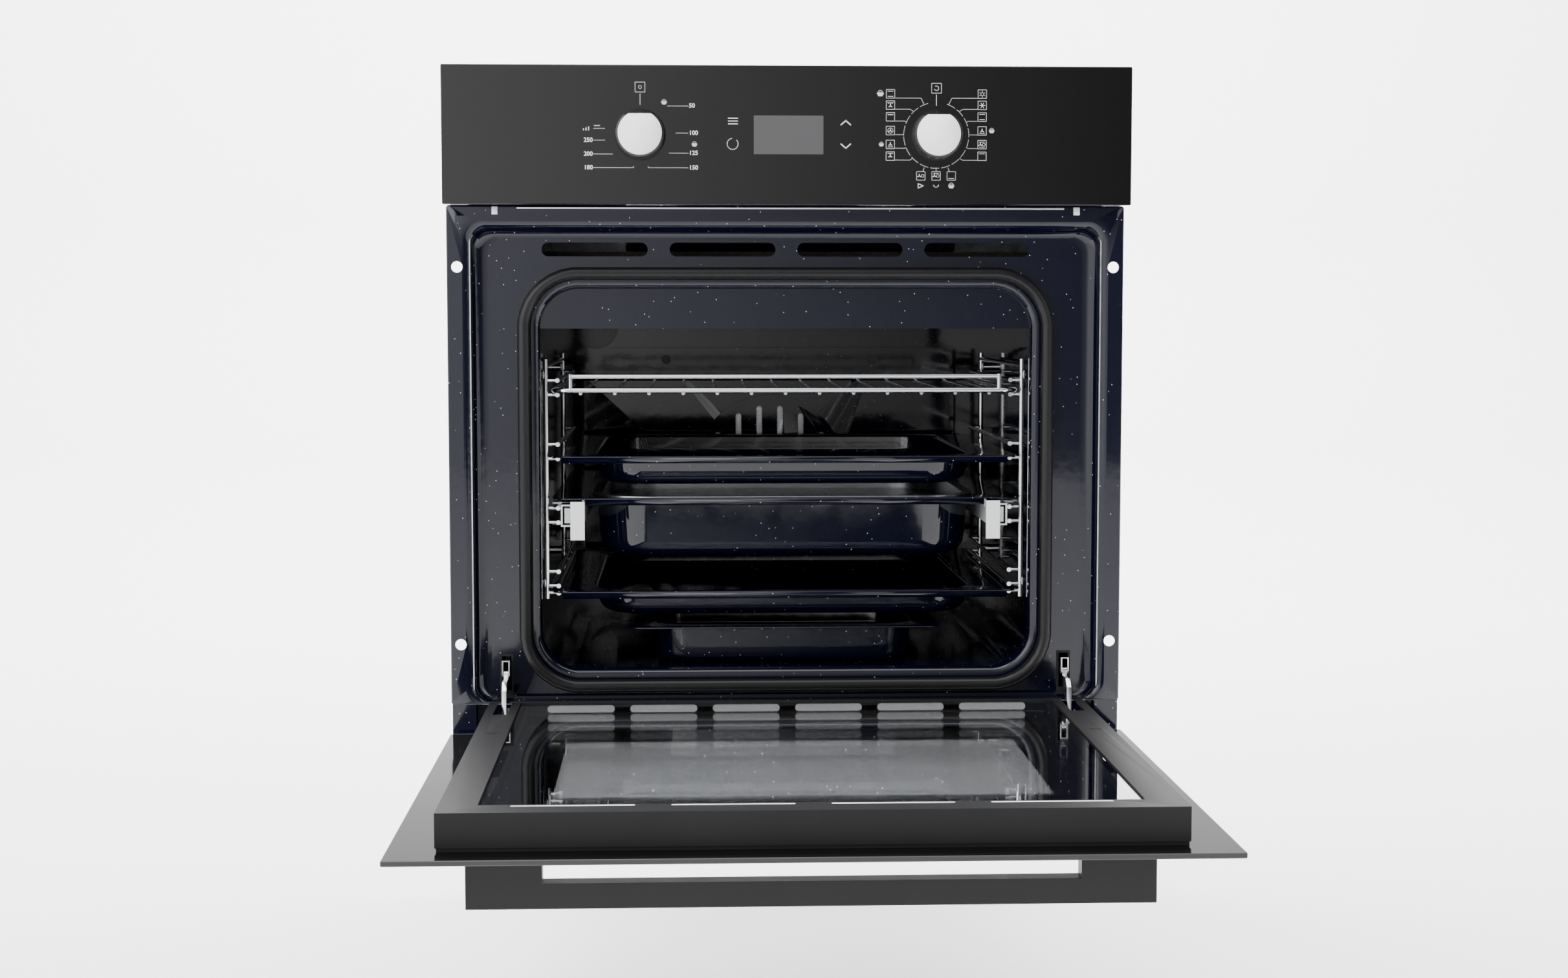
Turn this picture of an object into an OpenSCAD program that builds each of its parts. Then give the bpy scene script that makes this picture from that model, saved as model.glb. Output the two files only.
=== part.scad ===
// Built-in electric wall oven for a 600 mm cabinet, with its door open flat.
// The origin is the centre of the four cabinet screws, on the rear face of the flange.
// +X is to the right seen from the front, +Y goes into the cabinet, +Z is up.

/* [Front] */
// Width of the fascia and of the door glass
front_w = 595; // [590:1:720]
// Height of the whole front, from the door's foot line to the fascia's top
front_h = 595; // [590:1:720]
// Height of the fascia
fascia_h = 119; // [110:1:130]
// Gap between the fascia and the closed door
door_gap = 4; // [3:0.5:6]
// Gap between the front's bottom line and the closed door glass
door_foot = 4; // [3:0.5:6]
// Thickness of the outer glass panes
glass_t = 4; // [3:0.5:5]
// Depth from the front glass face to the cabinet's front edge
seat_y = 33; // [33:0.5:40]

/* [Body] */
// Thickness of the sheet steel
sheet_t = 1; // [0.8:0.1:1.2]
// How far the front stands past the body on each side
side_overlap = 19.5; // [18:0.5:22]
// Depth of the body behind the cabinet's front edge
body_d = 545; // [545:1:660]
// Height of the body's floor above the front's bottom line
body_foot = 6; // [4:0.5:10]
// Drop from the front's top to the body's roof
body_head = 12; // [10:0.5:20]
// Inset of the flange's edge from the front's edge
flange_inset = 1; // [0.5:0.5:2]
// Inset of the screw holes from the front's edge
screw_inset = 9.1; // [8:0.1:10]
// Height of the lower screw holes
screw_foot = 90.4; // [85:0.1:100]
// Drop from the front's top to the upper screw holes
screw_head = 172; // [165:0.5:180]
// Radius of the screw holes
screw_r = 4.9; // [4:0.1:5]

/* [Cavity] */
// Space for insulation between the body and the cavity
side_gap = 52; // [50:1:60]
// Depth of the cavity
cavity_d = 445; // [440:1:534]
// Height of the cavity's mouth above the front's bottom line
mouth_foot = 64; // [62:1:70]
// Drop from the closed door's top to the mouth's top
mouth_head = 67; // [64:1:72]
// Lip of the mouth in from the cavity's side walls
mouth_lip = 7; // [5:1:8]
// Corner radius of the mouth
mouth_r = 36; // [30:1:42]
// Depth of the pocket around the mouth
pocket_d = 14; // [14:0.5:16]
// Radius of the door gasket's tube
gasket_r = 5.75; // [5:0.25:6]
// Height of the fan's axis above the cavity's floor
fan_rise = 151.7; // [145:0.1:160]
// Depth of the fan cover
cover_d = 30; // [30:1:36]

/* [Shelves] */
// Height of the lowest shelf rung above the cavity's floor
rung_rise = 72.2; // [70:0.1:78]
// Height step from one shelf level to the next
level_step = 57.6; // [57:0.1:69.2]
// Gap between the two rungs of a level
rung_pair = 13; // [11:0.5:15]
// Radius of the rung wire
rung_r = 2; // [1.8:0.1:2.2]
// Radius of the upright wire
post_r = 2.5; // [2.2:0.1:3]
// Distance in from the cavity wall to the uprights
post_gap = 11; // [10:0.5:14]
// Distance in from the uprights to the rungs
rung_in = 10.5; // [10:0.5:12]
// Depth of the trays and of the rack
tray_d = 370; // [330:1:372]
// Depth of the shallow trays' wells
tray_well = 25; // [20:1:27]
// Depth of the deep pan's well
pan_well = 53; // [40:1:56]
// Thickness of the tray sheet
tray_t = 1; // [0.8:0.1:1.2]
// Play between a tray's edge and the uprights
tray_play = 2.8; // [2:0.1:4]

/* [Door] */
// How far the outer glass stands past the door frame on each side
frame_inset = 34.3; // [32:0.1:36]
// Drop from the door glass's top to the frame's top
frame_head = 23.9; // [20:0.1:30]
// Width of the frame's side columns
column_w = 27.7; // [26:0.1:30]
// Height of the frame's top rail
rail_h = 25.5; // [22:0.1:28]
// Depth of the frame's inner face behind the front glass face
frame_y = 31.5; // [31.5:0.1:31.8]
// Depth of the hinge axis behind the front glass face
hinge_y = 8.2; // [8.2:0.1:9]
// Height of the hinge axis above the front's bottom line
hinge_z = 16.4; // [16:0.1:17]
// Radius of the hinge pins
pin_r = 2.2; // [2:0.1:2.4]
// Running clearance of the pins and spindles
running = 0.05; // [0.02:0.01:0.1]
// Thickness of the hinge arms
arm_t = 4; // [3:0.5:4.5]

/* [Handle] */
// Length of the handle
handle_w = 490; // [440:1:540]
// Height of the handle's bar
handle_h = 15; // [13:0.5:18]
// How far the handle stands out of the glass
handle_out = 43.6; // [38:0.1:50]
// Depth of the finger gap
finger_gap = 25.3; // [22:0.1:30]
// Length of each end post
post_w = 54; // [40:1:60]
// Drop from the door glass's top to the handle's top
handle_head = 50.9; // [45:0.1:70]

/* [Controls] */
// Distance of each knob from the middle
knob_x = 127.5; // [115:0.5:140]
// Height of the knob axes below the front's top
knob_drop = 59.3; // [55:0.1:65]
// Radius of the knobs
knob_r = 21; // [18:0.5:22]
// How far the knobs stand out of the fascia
knob_out = 22; // [18:0.5:26]
// Radius of the spindles
spindle_r = 3; // [2.5:0.1:3.5]
// Width of the display
display_w = 60; // [50:1:70]
// Height of the display
display_h = 33; // [28:1:40]

/* [Hidden] */
$fn = 48;

enamel = "#14182e";
dark_steel = "#2b2d30";
bright_steel = "#c9ccd0";
grey_steel = "#85898d";
black_glass = "#101114";
cut = 1;

// Front lines, from the front's bottom line and the front glass face
door_top = front_h - fascia_h - door_gap;
fascia_z = front_h - fascia_h;
flange_y = seat_y - sheet_t;
flange_w = front_w - 2 * flange_inset;
screw_x = front_w / 2 - screw_inset;
screw_top = front_h - screw_head;
screw_mid = (screw_foot + screw_top) / 2;

// Body shell
body_w = front_w - 2 * side_overlap;
body_top = front_h - body_head;
body_back = seat_y + max(body_d, cavity_d + 100);

// Pocket, mouth and cavity
pocket_y = flange_y + pocket_d;
pocket_w = body_w - 3;
pocket_top = door_top - 14;
pocket_foot = 38;
panel_y = flange_y + 8;
mouth_top = door_top - mouth_head;
mouth_h = mouth_top - mouth_foot;
cavity_w = body_w - 2 * side_gap;
mouth_w = cavity_w - 2 * mouth_lip;
mouth_z = (mouth_top + mouth_foot) / 2;
cavity_y = pocket_y + sheet_t;
cavity_t = 1.2;
floor_z = mouth_foot + 0.3;
ceiling_z = mouth_top + 9;
wall_y = cavity_y + cavity_d;
gasket_lap = 18;
fan_z = floor_z + fan_rise;
cover_y = wall_y - cover_d;
cover_w = 395;
cover_h = 258;

// Shelves: rungs, trays and rails
post_x = cavity_w / 2 - post_gap;
rung_x = post_x - rung_in;
post_y = cavity_y + 33;
rear_post_y = post_y + 290;
base_rung_z = floor_z + rung_rise - 6.5;
level_z = [for (i = [0:3]) floor_z + rung_rise + i * level_step];
post_foot = base_rung_z - 5;
post_head = level_z[3] + rung_pair + 19;
tray_x = post_x - post_r - tray_play;
tray_y = cavity_y + 13;
well_x = rung_x - 34.5;
lip_x = rung_x - rung_r - 1.5;
rim_h = 6.4;
rack_wire_r = 2.5;
rack_z = level_z[3] + rung_r + rack_wire_r;
upper_tray_z = level_z[2] + rung_r;
lower_tray_z = base_rung_z + rung_r;
rail_z = level_z[1] + rung_pair / 2;
pan_z = rail_z + 15.5;
slide_x = rung_x - rung_r - 21.5;

// Door in its closed place
frame_w = front_w - 2 * frame_inset;
frame_foot = 1;
frame_top = door_top - frame_head;
frame_front = 6.8;
wall_t = 1.5;
pane_x = frame_w / 2 - column_w;
pane_top = frame_top - rail_h;
pane_y = frame_y - 1.5 - glass_t;
middle_y = glass_t + 11;
hinge_x = frame_w / 2 - column_w / 2;
slot_w = 12.5;
slot_top = 62;
arm_low = 47;
arm_high = 59;
arm_reach = cavity_y + 16;
latch_y = flange_y + 6;
latch_z = arm_high + 4;

// Fascia
knob_z = front_h - knob_drop;
display_z = knob_z;
housing_y = flange_y + sheet_t;

module from_front() translate([0, -seat_y, -screw_mid]) children();

// Draws the door's pieces, given in their closed place, with the door open flat
module swung_open() from_front() translate([0, hinge_y, hinge_z]) rotate([90, 0, 0])
    translate([0, -hinge_y, -hinge_z]) children();

module pair() for (side = [-1, 1]) on_side(side) children();
module on_side(side) {
    if (side < 0) mirror([1, 0, 0]) children();
    else children();
}

// Extrudes an outline of x and z from depth y0 to y0 + t
module slab_y(y0, t) translate([0, y0 + t, 0]) rotate([90, 0, 0]) linear_extrude(t) children();
// Extrudes an outline of y and z from x0 to x0 + t
module slab_x(x0, t) translate([x0, 0, 0]) rotate([90, 0, 90]) linear_extrude(t) children();
module slab_z(z0, t) translate([0, 0, z0]) linear_extrude(t) children();

module rod_x(x0, x1, y, z, r) translate([x0, y, z]) rotate([0, 90, 0]) cylinder(r = r, h = x1 - x0);
module rod_y(x, y0, y1, z, r) translate([x, y1, z]) rotate([90, 0, 0]) cylinder(r = r, h = y1 - y0);
module rod_z(x, y, z0, z1, r) translate([x, y, z0]) cylinder(r = r, h = z1 - z0);
module block(x0, x1, y0, y1, z0, z1) translate([x0, y0, z0]) cube([x1 - x0, y1 - y0, z1 - z0]);

module round_rect(w, h, r) {
    square([w - 2 * r, h], center = true);
    square([w, h - 2 * r], center = true);
    for (x = [-1, 1], y = [-1, 1])
        translate([x * (w / 2 - r), y * (h / 2 - r)]) circle(r);
}

module slot(w, h) {
    square([w - h, h], center = true);
    for (x = [-1, 1]) translate([x * (w - h) / 2, 0]) circle(h / 2);
}

// A closed loop of round wire in the XY plane, with rounded corners
module wire_loop(w, d, r, wire) {
    for (s = [-1, 1]) {
        rod_x(-w / 2 + r, w / 2 - r, s * d / 2, 0, wire);
        rod_y(s * w / 2, -d / 2 + r, d / 2 - r, 0, wire);
    }
    for (i = [0:3]) rotate([0, 0, 90 * i])
        translate([(i % 2 == 0 ? w : d) / 2 - r, (i % 2 == 0 ? d : w) / 2 - r, 0])
        rotate_extrude(angle = 90) translate([r, 0]) circle(wire);
}

// Front frame: flange, pocket around the mouth and the strip under the fascia
vent_w = 93.3;
vent_h = 12.2;
vent_pitch = 112.6;
vent_z = pocket_top - 19.4;
window_z = 40;
window_h = 40;

module mouth_outline(grow) translate([0, mouth_z])
    round_rect(mouth_w + 2 * grow, mouth_h + 2 * grow, mouth_r + grow);

module front_frame() color(enamel) from_front() difference() {
    union() {
        slab_y(flange_y, sheet_t) difference() {
            translate([-flange_w / 2, pocket_foot]) square([flange_w, pocket_top + 3 - pocket_foot]);
            translate([-pocket_w / 2 + 1, 0]) square([pocket_w - 2, pocket_top - 1]);
        }
        slab_y(flange_y, pocket_d + sheet_t) difference() {
            translate([-pocket_w / 2, pocket_foot]) square([pocket_w, pocket_top - pocket_foot]);
            translate([-pocket_w / 2 + sheet_t, 0]) square([pocket_w - 2 * sheet_t, pocket_top - sheet_t]);
        }
        slab_y(pocket_y, sheet_t) difference() {
            translate([-pocket_w / 2, pocket_foot]) square([pocket_w, pocket_top - pocket_foot]);
            mouth_outline(0);
            for (i = [-1.5:1.5]) translate([i * vent_pitch, vent_z]) slot(vent_w, vent_h);
            for (s = [-1, 1]) translate([s * hinge_x - slot_w / 2, window_z]) square([slot_w, window_h]);
        }
        slab_x(-flange_w / 2, flange_w) polygon([
            [flange_y, pocket_top], [seat_y, pocket_top], [seat_y, pocket_top + 3.4],
            [flange_y - 14, fascia_z + 0.6], [flange_y - 15, fascia_z + 0.6], [flange_y, pocket_top + 3]
        ]);
    }
    for (x = [-screw_x, screw_x], z = [screw_foot, screw_top]) rod_y(x, flange_y - cut, seat_y + cut, z, screw_r);
    block(-pocket_w / 2 - 4, pocket_w / 2 + 4, flange_y - 20, seat_y - 2.6, pocket_top + 7, fascia_z + 2);
}

module lower_front_panel() color(enamel) from_front() difference() {
    slab_z(body_foot, pocket_foot - body_foot - 0.5) union() {
        translate([-pocket_w / 2, panel_y]) square([pocket_w, sheet_t]);
        for (s = [-1, 1]) translate([s * (pocket_w - sheet_t) / 2 - sheet_t / 2, flange_y])
            square([sheet_t, panel_y + sheet_t - flange_y]);
        for (s = [-1, 1]) translate([s * (flange_w + pocket_w) / 4 - (flange_w - pocket_w) / 4, flange_y])
            square([(flange_w - pocket_w) / 2, sheet_t]);
    }
    for (i = [-2.5:2.5]) translate([i * 73, panel_y + sheet_t + cut, body_foot + 14]) rotate([90, 0, 0])
        linear_extrude(sheet_t + 2 * cut) slot(60, 7);
}

// Gasket: a tube on a flat foot, round the mouth
gasket_front = frame_y - 1.5 + 0.4;
module door_gasket() color("#1a1a1b") from_front() {
    w = mouth_w + 2 * gasket_lap - 2 * gasket_r;
    h = mouth_h + 2 * gasket_lap - 2 * gasket_r;
    r = mouth_r + gasket_lap - gasket_r;
    translate([0, gasket_front + gasket_r, mouth_z]) rotate([90, 0, 0]) wire_loop(w, h, r, gasket_r);
    slab_y(gasket_front + gasket_r, pocket_y - gasket_front - gasket_r) translate([0, mouth_z]) difference() {
        round_rect(w + 5, h + 5, r + 2.5);
        round_rect(w - 5, h - 5, r - 2.5);
    }
}

// Cavity: an enamelled box with the holes for its lamp, fan and elements
lamp_x = -185.6;
lamp_z = ceiling_z - 47.6;
lamp_r = 22.8;
ring_r = 88;
element_r = 3.25;
leg_x = 12;
leg_z = fan_z + sqrt(ring_r * ring_r - leg_x * leg_x);
grill_z = ceiling_z - 18;
cavity_mid = (floor_z + ceiling_z) / 2;

module cavity_outline(grow) translate([0, cavity_mid])
    round_rect(cavity_w + 2 * grow, ceiling_z - floor_z + 2 * grow, mouth_r + grow);

module cavity() color(enamel) from_front() difference() {
    slab_y(cavity_y, cavity_d + cavity_t) cavity_outline(cavity_t);
    slab_y(cavity_y - cut, cavity_d + cut) cavity_outline(0);
    rod_y(0, wall_y - cut, wall_y + 3, fan_z, 8);
    rod_y(lamp_x, wall_y - cut, wall_y + 3, lamp_z, 16);
    for (s = [-1, 1]) rod_y(s * leg_x, wall_y - cut, wall_y + 3, leg_z, element_r + 0.5);
    for (s = [-1, 1]) rod_y(s * leg_x, wall_y - cut, wall_y + 3, grill_z, element_r + 0.5);
}

// Shield that hides the grill element behind the top of the mouth
module grill_shield() color(enamel) from_front() {
    shield_y = cavity_y + 8;
    slab_y(shield_y, sheet_t) intersection() {
        cavity_outline(-3);
        translate([-cavity_w / 2, mouth_top - 36]) square([cavity_w, 60]);
    }
    block(-180, 180, shield_y + sheet_t, shield_y + 16, ceiling_z - 3 - sheet_t, ceiling_z - 3);
    for (x = [-150, 150]) rod_z(x, shield_y + 9, ceiling_z - 3 - sheet_t / 2, ceiling_z, 4);
}

grill_w = cavity_w - 110;
grill_d = cavity_d - 135;
grill_y = cavity_y + 40 + grill_d / 2;
module grill_element() color("#4a4744") from_front() translate([0, 0, grill_z]) {
    translate([0, grill_y, 0]) {
        wire_loop(grill_w, grill_d, 30, element_r);
        wire_loop(grill_w - 90, grill_d - 90, 24, element_r);
        for (s = [-1, 1]) rod_x(s * (grill_w / 2 - 22.5) - 22.5, s * (grill_w / 2 - 22.5) + 22.5, 0, 0, 2.4);
    }
    for (s = [-1, 1]) rod_y(s * leg_x, grill_y + grill_d / 2, wall_y + 12, 0, 3);
}

module ring_element() color("#4a4744") from_front() translate([0, 0, fan_z]) {
    translate([0, cover_y + 16, 0]) rotate([90, 0, 0]) rotate_extrude() translate([ring_r, 0]) circle(element_r);
    for (s = [-1, 1]) rod_y(s * leg_x, cover_y + 16, wall_y + 12, leg_z - fan_z, 3);
}

module base_element() color("#4a4744") from_front()
    translate([0, cavity_y + cavity_d / 2, floor_z - cavity_t - 5])
    wire_loop(cavity_w - 110, cavity_d - 130, 40, element_r);

// Fan cover: a shallow box with an inlet grille, outlet slots and a raised ring
grille_r = 68;
grille_pitch = 22.2;
cover_screw_z = 116.5;
module fan_cover() color(enamel) from_front() translate([0, 0, fan_z]) difference() {
    union() {
        slab_y(cover_y, cover_d) round_rect(cover_w, cover_h, 30);
        slab_y(cover_y - 2, 3) difference() {
            circle(79);
            circle(74);
        }
    }
    slab_y(cover_y + sheet_t, cover_d) round_rect(cover_w - 2 * sheet_t, cover_h - 2 * sheet_t, 29);
    for (i = [-2.5:2.5]) translate([i * grille_pitch, 0])
        slab_y(cover_y - 4, 8) rotate(90) slot(2 * sqrt(grille_r * grille_r - pow(i * grille_pitch, 2)), 6);
    for (x = [-110, 110], z = [-cover_screw_z, cover_screw_z]) rod_y(x, cover_y - cut, cover_y + 3, z, 2.1);
    for (s = [-1, 1], i = [-3:3]) translate([s * cover_w / 2 - 3, cover_y + 8, i * 28 - 3]) cube([6, 14, 6]);
}

module fan_cover_screws() color(bright_steel) from_front() translate([0, 0, fan_z])
    for (x = [-110, 110], z = [-cover_screw_z, cover_screw_z]) {
        rod_y(x, cover_y - 2.5, cover_y, z, 5);
        rod_y(x, cover_y - 1, wall_y, z, 2);
    }

module convection_fan() color(grey_steel) from_front() translate([0, 0, fan_z]) {
    slab_y(cover_y + 22, 1) circle(72);
    rod_y(0, cover_y + 6, cover_y + 24, 0, 9);
    rod_y(0, cover_y + 20, wall_y + 26, 0, 4);
    for (i = [0:9]) rotate([0, 36 * i, 0]) block(20, 70, cover_y + 7, cover_y + 22.5, -0.5, 0.5);
}

module fan_motor() color(grey_steel) from_front() translate([0, 0, fan_z]) difference() {
    union() {
        rod_y(0, wall_y + cavity_t, wall_y + 36, 0, 30);
        block(-44, 44, wall_y + cavity_t + 10, wall_y + 32, -24, 24);
    }
    rod_y(0, wall_y, wall_y + 30, 0, 4 + running);
}

module lamp_holder() color("#d8d4cc") from_front() difference() {
    rod_y(lamp_x, wall_y + cavity_t, wall_y + 34, lamp_z, 20);
    rod_y(lamp_x, wall_y, wall_y + 24, lamp_z, 9.2);
}

module lamp_bulb() color("#f2e8cf") from_front() rod_y(lamp_x, wall_y - 8, wall_y + 23, lamp_z, 9);

module lamp_glass() color([0.8, 0.85, 0.9, 0.5]) from_front() difference() {
    rod_y(lamp_x, wall_y - 14, wall_y, lamp_z, lamp_r);
    rod_y(lamp_x, wall_y - 12, wall_y + 1, lamp_z, lamp_r - 2);
}

// Side racks: two uprights, a foot rung and four pairs of rungs, in chromed wire
module side_rack() color(bright_steel) {
    for (y = [post_y, rear_post_y]) rod_z(post_x, y, post_foot, post_head, post_r);
    for (z = [post_foot + 3, post_head - 6]) rod_y(post_x, post_y, rear_post_y, z, 1.9);
    for (z = concat([base_rung_z], [for (a = level_z, b = [0, rung_pair]) a + b])) {
        rod_y(rung_x, post_y - 2, rear_post_y + 2, z, rung_r);
        for (y = [post_y, rear_post_y]) rod_x(rung_x, post_x, y, z, 1.7);
    }
}
module side_rack_left() from_front() mirror([1, 0, 0]) side_rack();
module side_rack_right() from_front() side_rack();

module rack_studs() color(bright_steel) from_front() pair()
    for (y = [post_y, rear_post_y], z = [post_foot + 14, post_head - 14])
        rod_x(post_x + post_r + 0.1, cavity_w / 2, y, z, 4);

// Rail bases: C-shaped channels clamped on the second pair of rungs
base_x = rung_x - rung_r - 11.5;
rail_y0 = post_y - 5;
rail_len = 320;
module rail_bases() color(grey_steel) from_front() pair() {
    translate([0, rail_y0 + rail_len, rail_z]) rotate([90, 0, 0]) linear_extrude(rail_len) difference() {
        translate([base_x, -10]) square([11, 20]);
        translate([base_x - 1, -8.5]) square([10.5, 17]);
    }
    for (y = [rail_y0 + 25, rail_y0 + 260], s = [-1, 1])
        translate([base_x + 5, y, rail_z + s * (rung_pair / 2 + rung_r + 0.9) - 0.8]) cube([15, 10, 1.6]);
}

// Insulation round the cavity, behind the hinge receivers
module insulation() color("#c8bf9a") from_front() {
    y0 = cavity_y + 48;
    inner = 12;
    slab_y(y0, wall_y - 20 - y0) difference() {
        translate([-cavity_w / 2 - 24, floor_z - 34]) square([cavity_w + 48, ceiling_z - floor_z + 58]);
        translate([0, (floor_z + ceiling_z) / 2 - 5])
            round_rect(cavity_w + 4, ceiling_z - floor_z + 14, inner);
    }
}

// Casing panels
module side_panel() color(grey_steel)
    block(body_w / 2 - sheet_t, body_w / 2, seat_y, body_back - sheet_t, body_foot + sheet_t, body_top - sheet_t);
module side_panel_left() from_front() mirror([1, 0, 0]) side_panel();
module side_panel_right() from_front() side_panel();

module vent_rows(count, pitch, w, h) for (i = [0:count - 1])
    translate([0, (i - (count - 1) / 2) * pitch]) slot(w, h);

module top_cover() color(grey_steel) from_front() difference() {
    block(-body_w / 2, body_w / 2, seat_y, body_back - sheet_t, body_top - sheet_t, body_top);
    slab_z(body_top - 2, 4) for (x = [-150, 150]) translate([x, seat_y + 430]) vent_rows(6, 14, 90, 6);
}

module base_plate() color(grey_steel) from_front() difference() {
    block(-body_w / 2, body_w / 2, panel_y + sheet_t, body_back - sheet_t, body_foot, body_foot + sheet_t);
    slab_z(body_foot - 1, 4) for (x = [-150, 150]) translate([x, seat_y + 430]) vent_rows(4, 14, 90, 6);
}

gland_x = 190;
gland_z = body_top - 45;
module rear_panel() color(grey_steel) from_front() difference() {
    block(-body_w / 2, body_w / 2, body_back - sheet_t, body_back, body_foot, body_top);
    slab_y(body_back - 3, 6) for (x = [-120, 120]) translate([x, fan_z]) vent_rows(7, 14, 100, 6);
    rod_y(gland_x, body_back - 3, body_back + 3, gland_z, 9.2);
}

module terminal_box() color("#26282a") from_front() difference() {
    union() {
        block(gland_x - 40, gland_x + 40, body_back - 42, body_back - sheet_t, gland_z - 28, gland_z + 28);
        rod_y(gland_x, body_back - 10, body_back + 10, gland_z, 9);
    }
    rod_y(gland_x, body_back - 20, body_back + 12, gland_z, 5);
    block(gland_x - 38, gland_x + 38, body_back - 40, body_back - 4, gland_z - 26, gland_z + 26);
}

// Cooling: a flat duct that ends under the fascia, with a barrel fan at its back
duct_w = 504;
duct_z0 = ceiling_z + 46;
duct_z1 = fascia_z - 2;
fan_y = wall_y - 30;
barrel_z = duct_z0 + 10;
module cooling_duct() color(bright_steel) from_front() difference() {
    union() {
        block(-duct_w / 2, duct_w / 2, seat_y + 2, fan_y - 39, duct_z0, duct_z1);
        block(-151, 151, fan_y - 41, fan_y, duct_z0, duct_z1);
        rod_x(-152, 152, fan_y, barrel_z, 31);
    }
    block(-duct_w / 2 + 1, duct_w / 2 - 1, seat_y, fan_y - 40, duct_z0 + 1, duct_z1 - 1);
    block(-150, 150, fan_y - 41, fan_y, duct_z0 + 1, duct_z1 - 1);
    rod_x(-151, 153, fan_y, barrel_z, 30);
    rod_x(-153, -150, fan_y, barrel_z, 12);
}

module cooling_fan() color("#3a3c3e") from_front() translate([0, fan_y, barrel_z]) {
    rod_x(-148, -146, 0, 0, 26);
    rod_x(146, 148, 0, 0, 26);
    for (i = [0:11]) rotate([30 * i, 0, 0]) block(-147, 147, 20, 25, -0.6, 0.6);
    rod_x(147, 175, 0, 0, 3);
    rod_x(-151, -147, 0, 0, 4);
}

module cooling_motor() color(grey_steel) from_front() difference() {
    rod_x(156, 196, fan_y, barrel_z, 24);
    rod_x(155, 178, fan_y, barrel_z, 3 + running);
}

// Fascia: the glass, the steel tray behind it and what the tray carries
module fascia_glass() color(black_glass) from_front() difference() {
    block(-front_w / 2, front_w / 2, 0, glass_t, fascia_z, front_h);
    for (s = [-1, 1]) rod_y(s * knob_x, -cut, glass_t + cut, knob_z, 7);
}

module fascia_housing() color(dark_steel) from_front() difference() {
    block(-front_w / 2 + 4, front_w / 2 - 4, glass_t, housing_y, fascia_z + 1, front_h - 3);
    block(-front_w / 2 + 5, front_w / 2 - 5, glass_t + 1.2, housing_y + 1, fascia_z + 2, front_h - 4);
    for (s = [-1, 1]) rod_y(s * knob_x, 0, glass_t + 3, knob_z, 7);
    block(-display_w / 2 - 1, display_w / 2 + 1, 0, glass_t + 3,
        display_z - display_h / 2 - 1, display_z + display_h / 2 + 1);
}

module display_module() color("#6f7072") from_front()
    block(-display_w / 2, display_w / 2, glass_t, glass_t + 8,
        display_z - display_h / 2, display_z + display_h / 2);

module control_board() color("#1f5a35") from_front() {
    block(-62, 62, glass_t + 8, glass_t + 9.6, display_z - 30, display_z + 30);
    for (x = [-50, 34], z = [-24, 10])
        block(x, x + 16, glass_t + 9.6, glass_t + 20, display_z + z, display_z + z + 14);
}

// Rotary controls: a body behind the tray and a bush for the knob's spindle
module control_body(x, w, d) color("#d9d6cc") from_front() translate([x, 0, knob_z]) difference() {
    union() {
        block(-w / 2, w / 2, glass_t + 6, glass_t + 6 + d, -w / 2, w / 2);
        rod_y(0, glass_t + 1.2, glass_t + 7, 0, 6.5);
        block(-w / 2 - 8, w / 2 + 8, glass_t + 4, glass_t + 6, -6, 6);
        for (s = [-1, 1]) rod_y(s * (w / 2 + 5), glass_t + 1.2, glass_t + 5, 0, 2.5);
    }
    rod_y(0, 0, glass_t + 20, 0, spindle_r + running);
}
module thermostat() control_body(-knob_x, 36, 24);
module function_selector() control_body(knob_x, 42, 40);

// Knob: a round grip with a flat on top, on its own spindle
module knob(x) from_front() translate([x, 0, knob_z]) {
    color(black_glass) difference() {
        rod_y(0, -knob_out + 1, -0.8, 0, knob_r);
        block(-knob_r, knob_r, -knob_out, -5, knob_r - 3.4, knob_r + 1);
        rod_y(0, -6, 0, 0, knob_r - 3);
    }
    color(bright_steel) intersection() {
        rod_y(0, -knob_out, -knob_out + 1, 0, knob_r - 2.2);
        block(-knob_r, knob_r, -knob_out - 1, 0, -knob_r, knob_r - 4.6);
    }
    color(grey_steel) rod_y(0, -7, glass_t + 19, 0, spindle_r);
}
module temperature_knob() knob(-knob_x);
module function_knob() knob(knob_x);

// Hinges: a receiver and an arm on the body, pins and housings in the door
module receiver() color(dark_steel) translate([hinge_x, 0, 0]) difference() {
    block(-slot_w / 2 + 0.2, slot_w / 2 - 0.2, pocket_y - 2, cavity_y + 42,
        window_z + 0.2, window_z + window_h - 0.2);
    block(-slot_w / 2 + 2, slot_w / 2 - 2, pocket_y - 3, cavity_y + 43, arm_low, window_z + window_h - 2);
}
module hinge_receiver_left() from_front() mirror([1, 0, 0]) receiver();
module hinge_receiver_right() from_front() receiver();

module arm() color(bright_steel) slab_x(hinge_x - arm_t / 2, arm_t) difference() {
    union() {
        translate([hinge_y, hinge_z]) circle(pin_r + 1.6);
        translate([latch_y, latch_z]) circle(3);
        translate([latch_y - 3, arm_high - 1]) square([6, latch_z - arm_high + 1]);
        polygon([
            [hinge_y - 1, hinge_z + 3.6], [hinge_y + 3.6, hinge_z - 1], [21, hinge_z + 12], [21, arm_low],
            [arm_reach, arm_low], [arm_reach, arm_high], [18, arm_high], [11, arm_high - 7]
        ]);
    }
    translate([hinge_y, hinge_z]) circle(pin_r + running);
    translate([latch_y, latch_z]) circle(1.6 + running);
}
module hinge_arm_left() from_front() mirror([1, 0, 0]) arm();
module hinge_arm_right() from_front() arm();

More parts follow.
